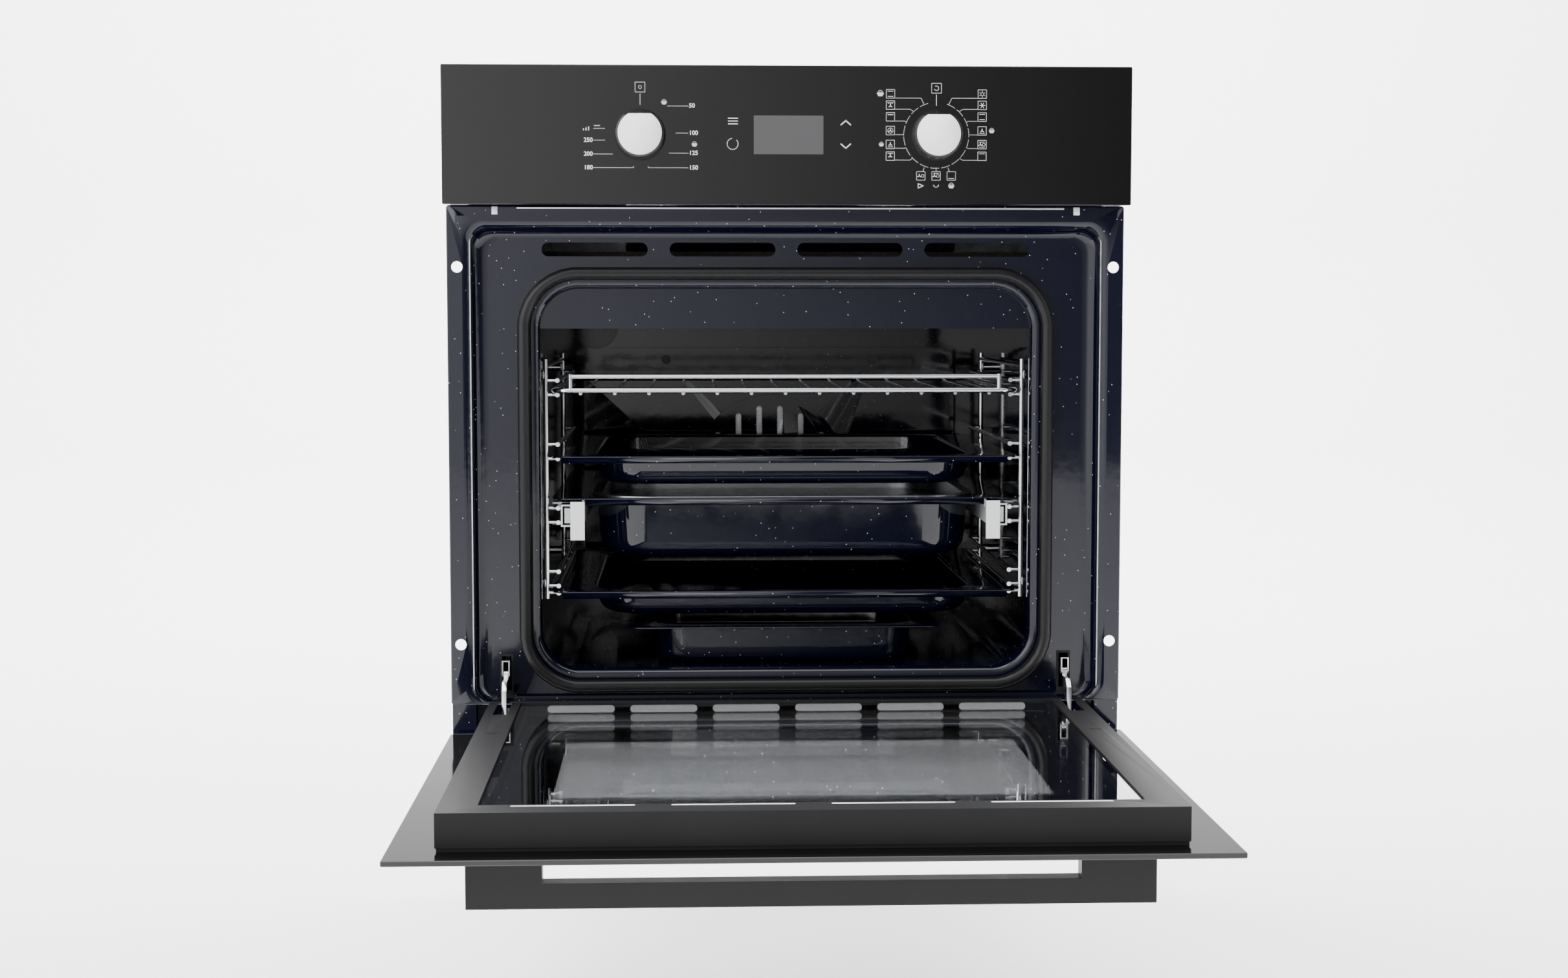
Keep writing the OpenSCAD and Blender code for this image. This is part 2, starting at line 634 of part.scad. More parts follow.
// Latch: a fork over the arm that flips forward to free the door
module latch() color(bright_steel) {
    for (x = [hinge_x - arm_t / 2 - 1.5, hinge_x + arm_t / 2 + 0.3]) slab_x(x, 1.2) union() {
        translate([latch_y, latch_z]) circle(3);
        translate([latch_y - 3, latch_z]) square([6, 12]);
    }
    rod_x(hinge_x - arm_t / 2 - 1.5, hinge_x + arm_t / 2 + 1.5, latch_y, latch_z, 1.6);
    block(hinge_x - arm_t / 2 - 1.5, hinge_x + arm_t / 2 + 1.5, latch_y - 3, latch_y + 3,
        latch_z + 11, latch_z + 12);
}
module hinge_latch_left() from_front() mirror([1, 0, 0]) latch();
module hinge_latch_right() from_front() latch();

cheek_in = arm_t / 2 + 1.3;
module hinge_housings() color(bright_steel) swung_open() pair() {
    for (x = [hinge_x - cheek_in - wall_t, hinge_x + cheek_in]) slab_x(x, wall_t) difference() {
        union() {
            translate([hinge_y, hinge_z]) circle(pin_r + 1.6);
            translate([hinge_y - 1, hinge_z]) square([18, 134]);
        }
        translate([hinge_y, hinge_z]) circle(pin_r + running);
    }
    block(hinge_x - cheek_in - 0.5, hinge_x + cheek_in + 0.5, hinge_y + 15.5, hinge_y + 17, 90, hinge_z + 134);
}

module hinge_pins() color(bright_steel) swung_open() pair()
    rod_x(hinge_x - cheek_in - wall_t - 0.8, hinge_x + cheek_in + wall_t + 0.8, hinge_y, hinge_z, pin_r);

// Springs: close-wound, so each is drawn as the sleeve of its coils
module hinge_springs() color(grey_steel) swung_open() pair() difference() {
    rod_z(hinge_x, hinge_y + 8, 82, 140, 3);
    rod_z(hinge_x, hinge_y + 8, 81, 141, 1.6);
}

// Door frame: two open channels, a top rail with slots, ledges and a vented foot web
module door_frame() color(dark_steel) swung_open() difference() {
    union() {
        block(-frame_w / 2, frame_w / 2, frame_front, frame_y, frame_foot, frame_top);
        block(-frame_w / 2 + 1, frame_w / 2 - 1, glass_t, frame_front + 0.2, frame_foot, frame_top - 1);
        for (s = [-1, 1]) rod_y(s * hinge_x, frame_y - 1, frame_y + 0.3, frame_foot + 145, 5);
    }
    // the glazed opening, with a ledge under each pane
    block(-pane_x, pane_x, pane_y, frame_y + 1, frame_foot + wall_t, pane_top);
    block(-pane_x + 6, pane_x - 6, middle_y + 3, frame_y, frame_foot + wall_t, pane_top - 6);
    block(-pane_x + 2, pane_x - 2, middle_y, middle_y + 3.1, frame_foot + wall_t, pane_top - 2);
    block(-pane_x + 6, pane_x - 6, 0, middle_y + 1, frame_foot + wall_t, pane_top - 6);
    // the hollow of each column, open to the outer glass
    for (s = [-1, 1]) translate([s * hinge_x, 0, 0])
        block(-column_w / 2 + wall_t, column_w / 2 - wall_t, 0, frame_y - wall_t, -1, frame_top - wall_t);
    // the hollow of the top rail
    block(-pane_x - 1, pane_x + 1, 0, frame_y - wall_t, pane_top + 2, frame_top - wall_t);
    for (s = [-1, 1])
        block(s * hinge_x - slot_w / 2, s * hinge_x + slot_w / 2, frame_y - 3, frame_y + 2, -1, slot_top);
    for (i = [-1.5:1.5]) translate([i * vent_pitch, 0, frame_top - 22])
        slab_y(frame_y - 3, 6) slot(88, 4);
    for (i = [-2.5:2.5]) translate([i * 73, 22, 0]) slab_z(frame_foot - 1, 4) slot(60, 6.9);
    // room for the heads of the handle's screws
    for (s = [-1, 1]) rod_y(s * handle_screw_x, -1, 10, handle_screw_z, 5.5);
}

module door_outer_glass() color(black_glass) swung_open() difference() {
    block(-front_w / 2, front_w / 2, 0, glass_t, door_foot, door_top);
    for (s = [-1, 1]) rod_y(s * handle_screw_x, -1, glass_t + 1, handle_screw_z, 2.7);
}

module door_middle_glass() color([0.3, 0.33, 0.35, 0.4]) swung_open()
    block(-pane_x + 2.5, pane_x - 2.5, middle_y, middle_y + 3, frame_foot + wall_t + 0.5, pane_top - 2.5);

module door_inner_glass() color([0.3, 0.33, 0.35, 0.4]) swung_open()
    block(-pane_x + 0.5, pane_x - 0.5, pane_y, pane_y + glass_t, frame_foot + wall_t, pane_top - 0.5);

handle_top = door_top - handle_head;
handle_screw_x = handle_w / 2 - post_w / 2;
handle_screw_z = handle_top - handle_h / 2;
module door_handle() color(dark_steel) swung_open() difference() {
    block(-handle_w / 2, handle_w / 2, -handle_out, 0, handle_top - handle_h, handle_top);
    block(-handle_w / 2 + post_w, handle_w / 2 - post_w, -finger_gap, 1,
        handle_top - handle_h - 1, handle_top + 1);
    for (s = [-1, 1]) rod_y(s * handle_screw_x, -14, 1, handle_screw_z, 2.6);
}

module handle_screws() color(bright_steel) swung_open() for (s = [-1, 1]) {
    rod_y(s * handle_screw_x, -13, glass_t + 0.5, handle_screw_z, 2.5);
    rod_y(s * handle_screw_x, glass_t, glass_t + 2.4, handle_screw_z, 4.6);
}

// Wire rack: a round-cornered rim, thirteen rods and a raised rail at the front
rods = 13;
rod_pitch = 30.5;
guard_x = 192;
guard_h = 12.5;
module wire_rack() color(bright_steel) from_front() translate([0, tray_y + tray_d / 2, rack_z]) {
    w = 2 * tray_x - 2 * rack_wire_r;
    d = tray_d - 2 * rack_wire_r;
    wire_loop(w, d, 12, rack_wire_r);
    for (i = [-(rods - 1) / 2:(rods - 1) / 2]) rod_y(i * rod_pitch, -d / 2 - 1, d / 2 + 1, -2.6, 1.5);
    rod_x(-guard_x, guard_x, -d / 2, guard_h, 2.2);
    for (s = [-1, 1]) rod_z(s * guard_x, -d / 2, 0, guard_h + 2, 2.3);
}

// Enamelled tray: a flat rim that runs on the rungs, lips at its ends and a well
module tray(z, well, half, y0, d, side_rim, end_rim, corner) color(enamel) from_front()
    translate([0, y0 + d / 2, z]) {
    w = 2 * half;
    iw = w - 2 * side_rim;
    id = d - 2 * end_rim;
    slab_z(0, tray_t) difference() {
        round_rect(w, d, 14);
        round_rect(iw - 2 * tray_t, id - 2 * tray_t, corner - tray_t);
    }
    slab_z(-well, well + tray_t / 2) difference() {
        round_rect(iw, id, corner);
        round_rect(iw - 2 * tray_t, id - 2 * tray_t, corner - tray_t);
    }
    slab_z(-well - tray_t, tray_t) round_rect(iw, id, corner);
}

module rim_lips(z, half, y0, d) color(enamel) from_front()
    for (y = [y0, y0 + d - tray_t]) block(-half, half, y, y + tray_t, z + tray_t - rim_h, z + tray_t / 2);

rim_side = tray_x - well_x;
module upper_tray() {
    tray(upper_tray_z, tray_well, tray_x, tray_y, tray_d, rim_side, 14, 45);
    rim_lips(upper_tray_z, lip_x, tray_y, tray_d);
}
module lower_tray() {
    tray(lower_tray_z, tray_well - 3, tray_x, tray_y, tray_d, rim_side, 14, 45);
    rim_lips(lower_tray_z, lip_x, tray_y, tray_d);
}
module deep_pan() {
    tray(pan_z, pan_well, tray_x, tray_y, tray_d, rim_side, 14, 50);
    rim_lips(pan_z, slide_x - 2, tray_y, tray_d);
}

// Insert: a shallow perforated tray that hangs in the deep pan
module perforated_insert() color(grey_steel) from_front() translate([0, tray_y + tray_d / 2, pan_z]) {
    w = 2 * well_x - 6;
    d = tray_d - 36;
    drop = 18;
    slab_z(-drop, drop + tray_t + 0.8) difference() {
        round_rect(w, d, 46);
        round_rect(w - 2, d - 2, 45);
    }
    slab_z(tray_t, 0.8) difference() {
        round_rect(w + 16, d + 16, 54);
        round_rect(w - 2, d - 2, 45);
    }
    slab_z(-drop, 1) difference() {
        round_rect(w, d, 46);
        for (i = [-9.5:9.5], j = [-4.5:4.5]) translate([i * 15, j * 30]) circle(3);
    }
}

small_w = 282;
small_d = 260;
small_well = 34;
module small_pan() tray(floor_z + small_well + tray_t, small_well, small_w / 2, tray_y, small_d, 24, 24, 30);

// Rail slides: a bar in the channel, a web under the pan's rim and a folded stop in front
module rail_slide() color(bright_steel) {
    translate([0, rail_y0 + rail_len, rail_z]) rotate([90, 0, 0]) linear_extrude(rail_len) union() {
        translate([slide_x, -7]) square([18, 14]);
        translate([slide_x, -7]) square([2, pan_z - rail_z + 7]);
    }
    block(slide_x - 1.5, slide_x + 11.3, tray_y - 10, tray_y - 8.5, rail_z - 20, pan_z - 1);
    block(slide_x, slide_x + 1.5, tray_y - 9, rail_y0 + 1, rail_z - 7, rail_z + 7);
}
module rail_slide_left() from_front() mirror([1, 0, 0]) rail_slide();
module rail_slide_right() from_front() rail_slide();

front_frame();
lower_front_panel();
door_gasket();
cavity();
grill_shield();
grill_element();
ring_element();
base_element();
fan_cover();
fan_cover_screws();
convection_fan();
fan_motor();
lamp_holder();
lamp_bulb();
lamp_glass();
side_rack_left();
side_rack_right();
rack_studs();
rail_bases();
insulation();
top_cover();
side_panel_left();
side_panel_right();
rear_panel();
base_plate();
cooling_duct();
cooling_fan();
cooling_motor();
fascia_glass();
fascia_housing();
display_module();
control_board();
thermostat();
function_selector();
terminal_box();
hinge_receiver_left();
hinge_receiver_right();
hinge_arm_left();
hinge_arm_right();
hinge_latch_left();
hinge_latch_right();
wire_rack();
upper_tray();
deep_pan();
perforated_insert();
rail_slide_left();
rail_slide_right();
lower_tray();
small_pan();
door_frame();
door_outer_glass();
door_middle_glass();
door_inner_glass();
door_handle();
handle_screws();
hinge_housings();
hinge_pins();
hinge_springs();
temperature_knob();
function_knob();
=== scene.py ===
"""Looks of the wall oven: finishes, folded enamel front, trays, panes, knobs and printed marks."""

import math

import bmesh
import bpy
from mathutils import Matrix, Vector


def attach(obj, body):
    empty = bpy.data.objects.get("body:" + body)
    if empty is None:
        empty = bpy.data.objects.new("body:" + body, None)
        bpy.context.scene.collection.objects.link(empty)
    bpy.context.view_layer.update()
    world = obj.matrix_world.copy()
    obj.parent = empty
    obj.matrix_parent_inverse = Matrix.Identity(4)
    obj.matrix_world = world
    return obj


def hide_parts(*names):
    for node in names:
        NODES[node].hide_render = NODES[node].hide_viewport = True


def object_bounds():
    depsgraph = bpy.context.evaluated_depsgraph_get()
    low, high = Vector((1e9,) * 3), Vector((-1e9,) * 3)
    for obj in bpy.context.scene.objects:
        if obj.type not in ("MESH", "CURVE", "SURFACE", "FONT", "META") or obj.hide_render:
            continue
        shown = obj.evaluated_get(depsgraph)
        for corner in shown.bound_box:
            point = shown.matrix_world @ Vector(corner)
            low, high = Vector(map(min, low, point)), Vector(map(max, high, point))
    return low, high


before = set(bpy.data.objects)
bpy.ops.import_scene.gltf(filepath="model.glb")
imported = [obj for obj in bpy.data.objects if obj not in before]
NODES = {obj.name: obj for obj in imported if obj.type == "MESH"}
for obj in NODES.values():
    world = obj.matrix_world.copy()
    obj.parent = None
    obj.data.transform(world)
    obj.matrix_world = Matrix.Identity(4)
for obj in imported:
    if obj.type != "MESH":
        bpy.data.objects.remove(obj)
cad_low, cad_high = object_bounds()
MM = 0.001

# Row position of the design's own zero: the front glass's face and the front's bottom line
SEAT_Y = 33.0
SCREW_MID = 256.7
# The door's hinge pins, behind the front's face and above its bottom line
PIN_Y = 8.2
PIN_Z = 16.4
# Each dial's centre, to each side of the middle and above the front's bottom line
DIAL_X = 127.5
DIAL_Z = 535.7


def at(x, y, z):
    """Row point in metres of a design point in millimetres."""
    return Vector((x, y - SEAT_Y, z - SCREW_MID)) * MM


# Camera and studio
FLOOR = cad_low.z - 0.22


def add_camera():
    data = bpy.data.cameras.new("camera")
    data.lens = 52.66
    data.sensor_width = 36.0
    data.clip_end = 60.0
    camera = bpy.data.objects.new("camera", data)
    camera.location = (-0.08774, -2.02242, 0.12897)
    camera.rotation_euler = (math.pi / 2 - 0.0780232, 0.0, -0.0420790)
    bpy.context.scene.collection.objects.link(camera)
    bpy.context.scene.camera = camera


def add_light(name, place, aim, size, power, tint=(1.0, 1.0, 1.0)):
    data = bpy.data.lights.new(name, "AREA")
    data.shape = "RECTANGLE"
    data.size, data.size_y = size
    data.energy = power
    data.color = tint
    lamp = bpy.data.objects.new(name, data)
    lamp.location = place
    lamp.rotation_euler = (Vector(aim) - Vector(place)).to_track_quat("-Z", "Y").to_euler()
    bpy.context.scene.collection.objects.link(lamp)


# Shader effects shared by several finishes
EFFECT_INPUTS = (
    ("Vector", "NodeSocketVector", (0.0, 0.0, 0.0)),
    ("Scale", "NodeSocketFloat", 100.0),
    ("Amount", "NodeSocketFloat", 0.5),
    ("Base", "NodeSocketColor", (0.5, 0.5, 0.5, 1.0)),
    ("Marked", "NodeSocketColor", (0.5, 0.5, 0.5, 1.0)),
    ("Smooth", "NodeSocketFloat", 0.2),
    ("Rough", "NodeSocketFloat", 0.4),
)


def effect(name, pattern):
    """Group that turns a pattern's mask and height into Color, Roughness and Height."""
    tree = bpy.data.node_groups.new(name, "ShaderNodeTree")
    for label, kind, value in EFFECT_INPUTS:
        socket = tree.interface.new_socket(name=label, in_out="INPUT", socket_type=kind)
        if label != "Vector":
            socket.default_value = value
    for label, kind in (
        ("Color", "NodeSocketColor"),
        ("Roughness", "NodeSocketFloat"),
        ("Height", "NodeSocketFloat"),
    ):
        tree.interface.new_socket(name=label, in_out="OUTPUT", socket_type=kind)
    source = tree.nodes.new("NodeGroupInput")
    result = tree.nodes.new("NodeGroupOutput")
    mask, height = pattern(tree, source)
    blend = tree.nodes.new("ShaderNodeMix")
    blend.data_type = "RGBA"
    tree.links.new(mask, blend.inputs[0])
    tree.links.new(source.outputs["Base"], blend.inputs[6])
    tree.links.new(source.outputs["Marked"], blend.inputs[7])
    rough = tree.nodes.new("ShaderNodeMapRange")
    tree.links.new(height, rough.inputs["Value"])
    tree.links.new(source.outputs["Smooth"], rough.inputs["To Min"])
    tree.links.new(source.outputs["Rough"], rough.inputs["To Max"])
    tree.links.new(blend.outputs[2], result.inputs["Color"])
    tree.links.new(rough.outputs[0], result.inputs["Roughness"])
    tree.links.new(height, result.inputs["Height"])
    return tree


def math_node(tree, kind, first, second):
    node = tree.nodes.new("ShaderNodeMath")
    node.operation = kind
    for socket, value in zip(node.inputs, (first, second)):
        if isinstance(value, (int, float)):
            socket.default_value = value
        else:
            tree.links.new(value, socket)
    return node.outputs[0]


def noise(tree, source, scale, detail=3.0, stretch=None):
    vector = source.outputs["Vector"]
    if stretch:
        mapping = tree.nodes.new("ShaderNodeMapping")
        mapping.inputs["Scale"].default_value = stretch
        tree.links.new(vector, mapping.inputs["Vector"])
        vector = mapping.outputs[0]
    node = tree.nodes.new("ShaderNodeTexNoise")
    node.inputs["Detail"].default_value = detail
    tree.links.new(vector, node.inputs["Vector"])
    if isinstance(scale, (int, float)):
        node.inputs["Scale"].default_value = scale
    else:
        tree.links.new(scale, node.inputs["Scale"])
    return node.outputs["Fac"]


def fleck_pattern(tree, source):
    """Small round flecks, sparse and uneven, in fired enamel."""
    cells = tree.nodes.new("ShaderNodeTexVoronoi")
    tree.links.new(source.outputs["Vector"], cells.inputs["Vector"])
    tree.links.new(source.outputs["Scale"], cells.inputs["Scale"])
    pick = tree.nodes.new("ShaderNodeSeparateColor")
    tree.links.new(cells.outputs["Color"], pick.inputs[0])
    near = math_node(tree, "LESS_THAN", cells.outputs["Distance"], 0.068)
    chosen = math_node(tree, "LESS_THAN", pick.outputs[0], source.outputs["Amount"])
    mask = math_node(tree, "MULTIPLY", near, chosen)
    return mask, noise(tree, source, 55.0, 2.0)


def grain_pattern(tree, source):
    """Fine even grain, as on satin paint, rubber and moulded plastic."""
    fine = noise(tree, source, source.outputs["Scale"], 4.0)
    broad = noise(tree, source, 9.0, 2.0)
    mask = math_node(tree, "MULTIPLY", broad, source.outputs["Amount"])
    return mask, fine


def brushed_pattern(tree, source):
    """Long fine streaks along X, as rolling and brushing leave."""
    streaks = noise(tree, source, source.outputs["Scale"], 4.0, (0.03, 1.0, 1.0))
    mask = math_node(tree, "MULTIPLY", streaks, source.outputs["Amount"])
    return mask, streaks


def spangle_pattern(tree, source):
    """Crystal patches of zinc on galvanised sheet."""
    cells = tree.nodes.new("ShaderNodeTexVoronoi")
    tree.links.new(source.outputs["Vector"], cells.inputs["Vector"])
    tree.links.new(source.outputs["Scale"], cells.inputs["Scale"])
    pick = tree.nodes.new("ShaderNodeSeparateColor")
    tree.links.new(cells.outputs["Color"], pick.inputs[0])
    mask = math_node(tree, "MULTIPLY", pick.outputs[1], source.outputs["Amount"])
    return mask, pick.outputs[0]


FLECKS = effect("enamel_flecks", fleck_pattern)
GRAIN = effect("fine_grain", grain_pattern)
BRUSHED = effect("brushed_streaks", brushed_pattern)
SPANGLE = effect("zinc_spangle", spangle_pattern)


def finish(name, group, base, marked, smooth, rough, scale, amount=0.5, bump=0.0, **shader):
    """Material with one effect group in front of its shader; shader names set its own sockets."""
    made = bpy.data.materials.new(name)
    made.use_nodes = True
    tree = made.node_tree
    surface = tree.nodes["Principled BSDF"]
    place = tree.nodes.new("ShaderNodeTexCoord")
    node = tree.nodes.new("ShaderNodeGroup")
    node.node_tree = group
    tree.links.new(place.outputs["Object"], node.inputs["Vector"])
    values = {"Scale": scale, "Amount": amount, "Smooth": smooth, "Rough": rough}
    for label, value in values.items():
        node.inputs[label].default_value = value
    node.inputs["Base"].default_value = (*base, 1.0)
    node.inputs["Marked"].default_value = (*marked, 1.0)
    tree.links.new(node.outputs["Color"], surface.inputs["Base Color"])
    tree.links.new(node.outputs["Roughness"], surface.inputs["Roughness"])
    if bump:
        relief = tree.nodes.new("ShaderNodeBump")
        relief.inputs["Strength"].default_value = 1.0
        relief.inputs["Distance"].default_value = bump
        tree.links.new(node.outputs["Height"], relief.inputs["Height"])
        tree.links.new(relief.outputs[0], surface.inputs["Normal"])
    for label, value in shader.items():
        surface.inputs[label.replace("_", " ")].default_value = value
    return made


def make_finishes():
    navy = (0.0020, 0.0024, 0.0105)
    return {
        "enamel": finish("speckled_enamel", FLECKS, navy, (0.62, 0.65, 0.78), 0.04, 0.10, 170.0,
                         0.75, 0.00006, IOR=1.5),
        "chrome": finish("chromed_wire", GRAIN, (0.82, 0.83, 0.85), (0.66, 0.67, 0.70), 0.09, 0.2,
                         1500.0, 0.6, Metallic=1.0),
        "bright": finish("bright_steel", BRUSHED, (0.74, 0.75, 0.77), (0.56, 0.57, 0.59), 0.2, 0.38,
                         900.0, 0.8, 0.00001, Metallic=1.0),
        "zinc": finish("galvanised_sheet", SPANGLE, (0.50, 0.52, 0.54), (0.66, 0.68, 0.70), 0.3,
                       0.44, 130.0, 0.9, Metallic=1.0),
        "satin": finish("satin_black_paint", GRAIN, (0.014, 0.014, 0.015), (0.024, 0.024, 0.025),
                        0.46, 0.58, 2600.0, 0.7, 0.000012, Specular_IOR_Level=0.10),
        "handle": finish("handle_black", GRAIN, (0.0095, 0.0095, 0.010), (0.016, 0.016, 0.017), 0.38,
                         0.48, 2200.0, 0.6, 0.00001, Specular_IOR_Level=0.2),
        "black_glass": finish("black_glass", GRAIN, (0.0022, 0.0022, 0.0026),
                              (0.0030, 0.0030, 0.0034), 0.015, 0.03, 600.0, 0.5, IOR=1.52),
        "frit": finish("black_frit", GRAIN, (0.0050, 0.0050, 0.0054), (0.0070, 0.0070, 0.0074), 0.06,
                       0.10, 900.0, 0.6, IOR=1.05),
        "lamp_glass": finish("lamp_glass", GRAIN, (0.10, 0.10, 0.12), (0.07, 0.07, 0.09), 0.06, 0.12,
                             500.0, 0.5, IOR=1.4, Transmission_Weight=1.0),
        "clear_glass": finish("clear_pane", GRAIN, (0.90, 0.91, 0.92), (0.86, 0.87, 0.88), 0.0, 0.02,
                              500.0, 0.5, IOR=1.62, Transmission_Weight=1.0),
        "smoked_glass": finish("smoked_window", GRAIN, (0.36, 0.36, 0.37), (0.34, 0.34, 0.35), 0.05,
                               0.06, 500.0, 0.5, IOR=1.5, Transmission_Weight=1.0),
        "rubber": finish("gasket_rubber", GRAIN, (0.006, 0.006, 0.007), (0.010, 0.010, 0.011), 0.24,
                         0.36, 1800.0, 0.6, 0.00002, Specular_IOR_Level=0.25),
        "heater": finish("heater_sheath", GRAIN, (0.085, 0.075, 0.070), (0.05, 0.045, 0.042), 0.4,
                         0.6, 900.0, 0.8, 0.00001, Metallic=0.8),
        "ceramic": finish("lamp_ceramic", GRAIN, (0.80, 0.77, 0.70), (0.70, 0.67, 0.60), 0.3, 0.45,
                          700.0, 0.6, 0.00002),
        "wool": finish("mineral_wool", GRAIN, (0.040, 0.036, 0.030), (0.022, 0.020, 0.017), 0.85, 0.98,
                       380.0, 0.9, 0.0012),
        "cream": finish("control_body_plastic", GRAIN, (0.68, 0.65, 0.57), (0.60, 0.57, 0.50), 0.4,
                        0.55, 1600.0, 0.6, 0.00002),
        "board": finish("circuit_board", GRAIN, (0.02, 0.16, 0.06), (0.015, 0.11, 0.045), 0.25,
                        0.4, 1400.0, 0.7),
        "display": finish("display_window", GRAIN, (0.070, 0.070, 0.072), (0.064, 0.064, 0.066), 0.10,
                          0.16, 700.0, 0.5),
        # Knob face: brushed silver with a painted glow (emission), which brightens it as lamp light would
        "silver": finish("knob_face_silver", BRUSHED, (0.95, 0.96, 0.97), (0.88, 0.89, 0.90), 0.28,
                         0.42, 1500.0, 0.7, 0.000006, Emission_Color=(1.0, 1.0, 1.0, 1.0),
                         Emission_Strength=0.25),
        "knob_black": finish("knob_black", GRAIN, (0.012, 0.012, 0.013), (0.02, 0.02, 0.021), 0.16,
                             0.26, 1700.0, 0.6, 0.000006),
        # Painted light: pale glowing inserts stand for the light seen through the door frame's slots
        "pale": finish("pale_insert", GRAIN, (0.82, 0.82, 0.82), (0.76, 0.76, 0.76), 0.35, 0.5,
                       1500.0, 0.5, 0.00001, Emission_Color=(1.0, 1.0, 1.0, 1.0),
                       Emission_Strength=0.45),
        "rail": finish("rail_zinc", BRUSHED, (0.90, 0.91, 0.92), (0.78, 0.79, 0.80), 0.3, 0.45,
                       800.0, 0.6, 0.00001, Metallic=0.4),
        "print": finish("printed_white", GRAIN, (0.80, 0.81, 0.82), (0.70, 0.71, 0.72), 0.5, 0.6,
                        2400.0, 0.5),
    }


# Shaping tools: rings of rounded rectangles joined into sheets, and softened copies of CAD nodes
CORNER_STEPS = 8


def placed(way, size, flat, middle):
    """Row point on a rounded rectangle, from its direction round the corner's circle."""
    half, low, high, radius, level = size
    x = way.x * radius + math.copysign(half - radius, way.x) + middle
    y = way.y * radius + math.copysign((high - low) / 2 - radius, way.y) + (low + high) / 2
    return at(x, y, level) if flat else at(x, level, y)


def loft(bm, sizes, flat=False, closed=False, middle=0.0):
    """Rounded rectangle extruded from size to size; returns each size's loop of edges.

    A size is (half width, low, high, corner radius, level), upright in X and Z at a depth,
    or flat in X and Y at a height.
    """
    layer = bm.verts.layers.float_vector.get("way") or bm.verts.layers.float_vector.new("way")
    count = 4 * CORNER_STEPS
    verts = bmesh.ops.create_circle(bm, segments=count, radius=1 / math.cos(math.pi / count))["verts"]
    bmesh.ops.rotate(bm, verts=verts, matrix=Matrix.Rotation(math.pi / count, 3, "Z"))
    for vert in verts:
        vert[layer] = vert.co
        vert.co = placed(vert[layer], sizes[0], flat, middle)
    loops = [list({edge for vert in verts for edge in vert.link_edges})]
    for size in sizes[1:] + (sizes[:1] if closed else []):
        made = bmesh.ops.extrude_edge_only(bm, edges=loops[-1])["geom"]
        moved = {part for part in made if isinstance(part, bmesh.types.BMVert)}
        for vert in moved:
            vert.co = placed(vert[layer], size, flat, middle)
        loops.append([part for part in made
                      if isinstance(part, bmesh.types.BMEdge) and set(part.verts) <= moved])
    return loops


def bend(start, end, steps=5):
    """Fractions along a quarter bend that leaves start's plane and ends in end's plane."""
    for step in range(steps + 1):
        turn = math.pi / 2 * step / steps
        yield (
            start[0] + (end[0] - start[0]) * math.sin(turn),
            start[1] + (end[1] - start[1]) * (1 - math.cos(turn)),
        )


def piece(name, bm, paint, body, *stands_for, smooth=40.0, slot=None):
    """Turns a bmesh into a finished piece that rides on a body and stands for CAD nodes."""
    mesh = bpy.data.meshes.new(name)
    layer = bm.verts.layers.float_vector.get("way")
    if layer:
        bm.verts.layers.float_vector.remove(layer)
    bm.to_mesh(mesh)
    bm.free()
    for material in paint if isinstance(paint, (list, tuple)) else [paint]:
        mesh.materials.append(material)
    mesh.shade_smooth()
    mesh.set_sharp_from_angle(angle=math.radians(smooth))
    obj = bpy.data.objects.new(name, mesh)
    bpy.context.scene.collection.objects.link(obj)
    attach(obj, body)
    if stands_for:
        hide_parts(*stands_for)
    return obj


def outward(bm):
    bmesh.ops.remove_doubles(bm, verts=bm.verts, dist=1e-6)
    bmesh.ops.recalc_face_normals(bm, faces=bm.faces)


def thicken(obj, thickness, offset=-1.0):
    wall = obj.modifiers.new("sheet", "SOLIDIFY")
    wall.thickness = thickness * MM
    wall.offset = offset
    wall.use_even_offset = True


def softened(node, paint, body, slot, radius, steps=2, angle=32.0):
    """Copy of a CAD node with its edges rounded, which stands for the node."""
    bm = bmesh.new()
    bm.from_mesh(NODES[node].data)
    bmesh.ops.remove_doubles(bm, verts=bm.verts, dist=2e-6)
    bmesh.ops.dissolve_limit(bm, angle_limit=math.radians(0.5), verts=bm.verts, edges=bm.edges)
    obj = piece(node + "_soft", bm, paint, body, node, slot=slot)
    edge = obj.modifiers.new("edges", "BEVEL")
    edge.width = radius * MM
    edge.segments = steps
    edge.limit_method = "ANGLE"
    edge.angle_limit = math.radians(angle)
    edge.harden_normals = True
    return obj


def box(bm, x0, x1, y0, y1, z0, z1):
    """Block between design depths and heights."""
    low, high = at(x0, y0, z0), at(x1, y1, z1)
    made = bmesh.ops.create_cube(bm, size=1.0)
    size = high - low
    bmesh.ops.scale(bm, vec=size, verts=made["verts"])
    bmesh.ops.translate(bm, vec=(low + high) / 2, verts=made["verts"])
    return made["verts"]


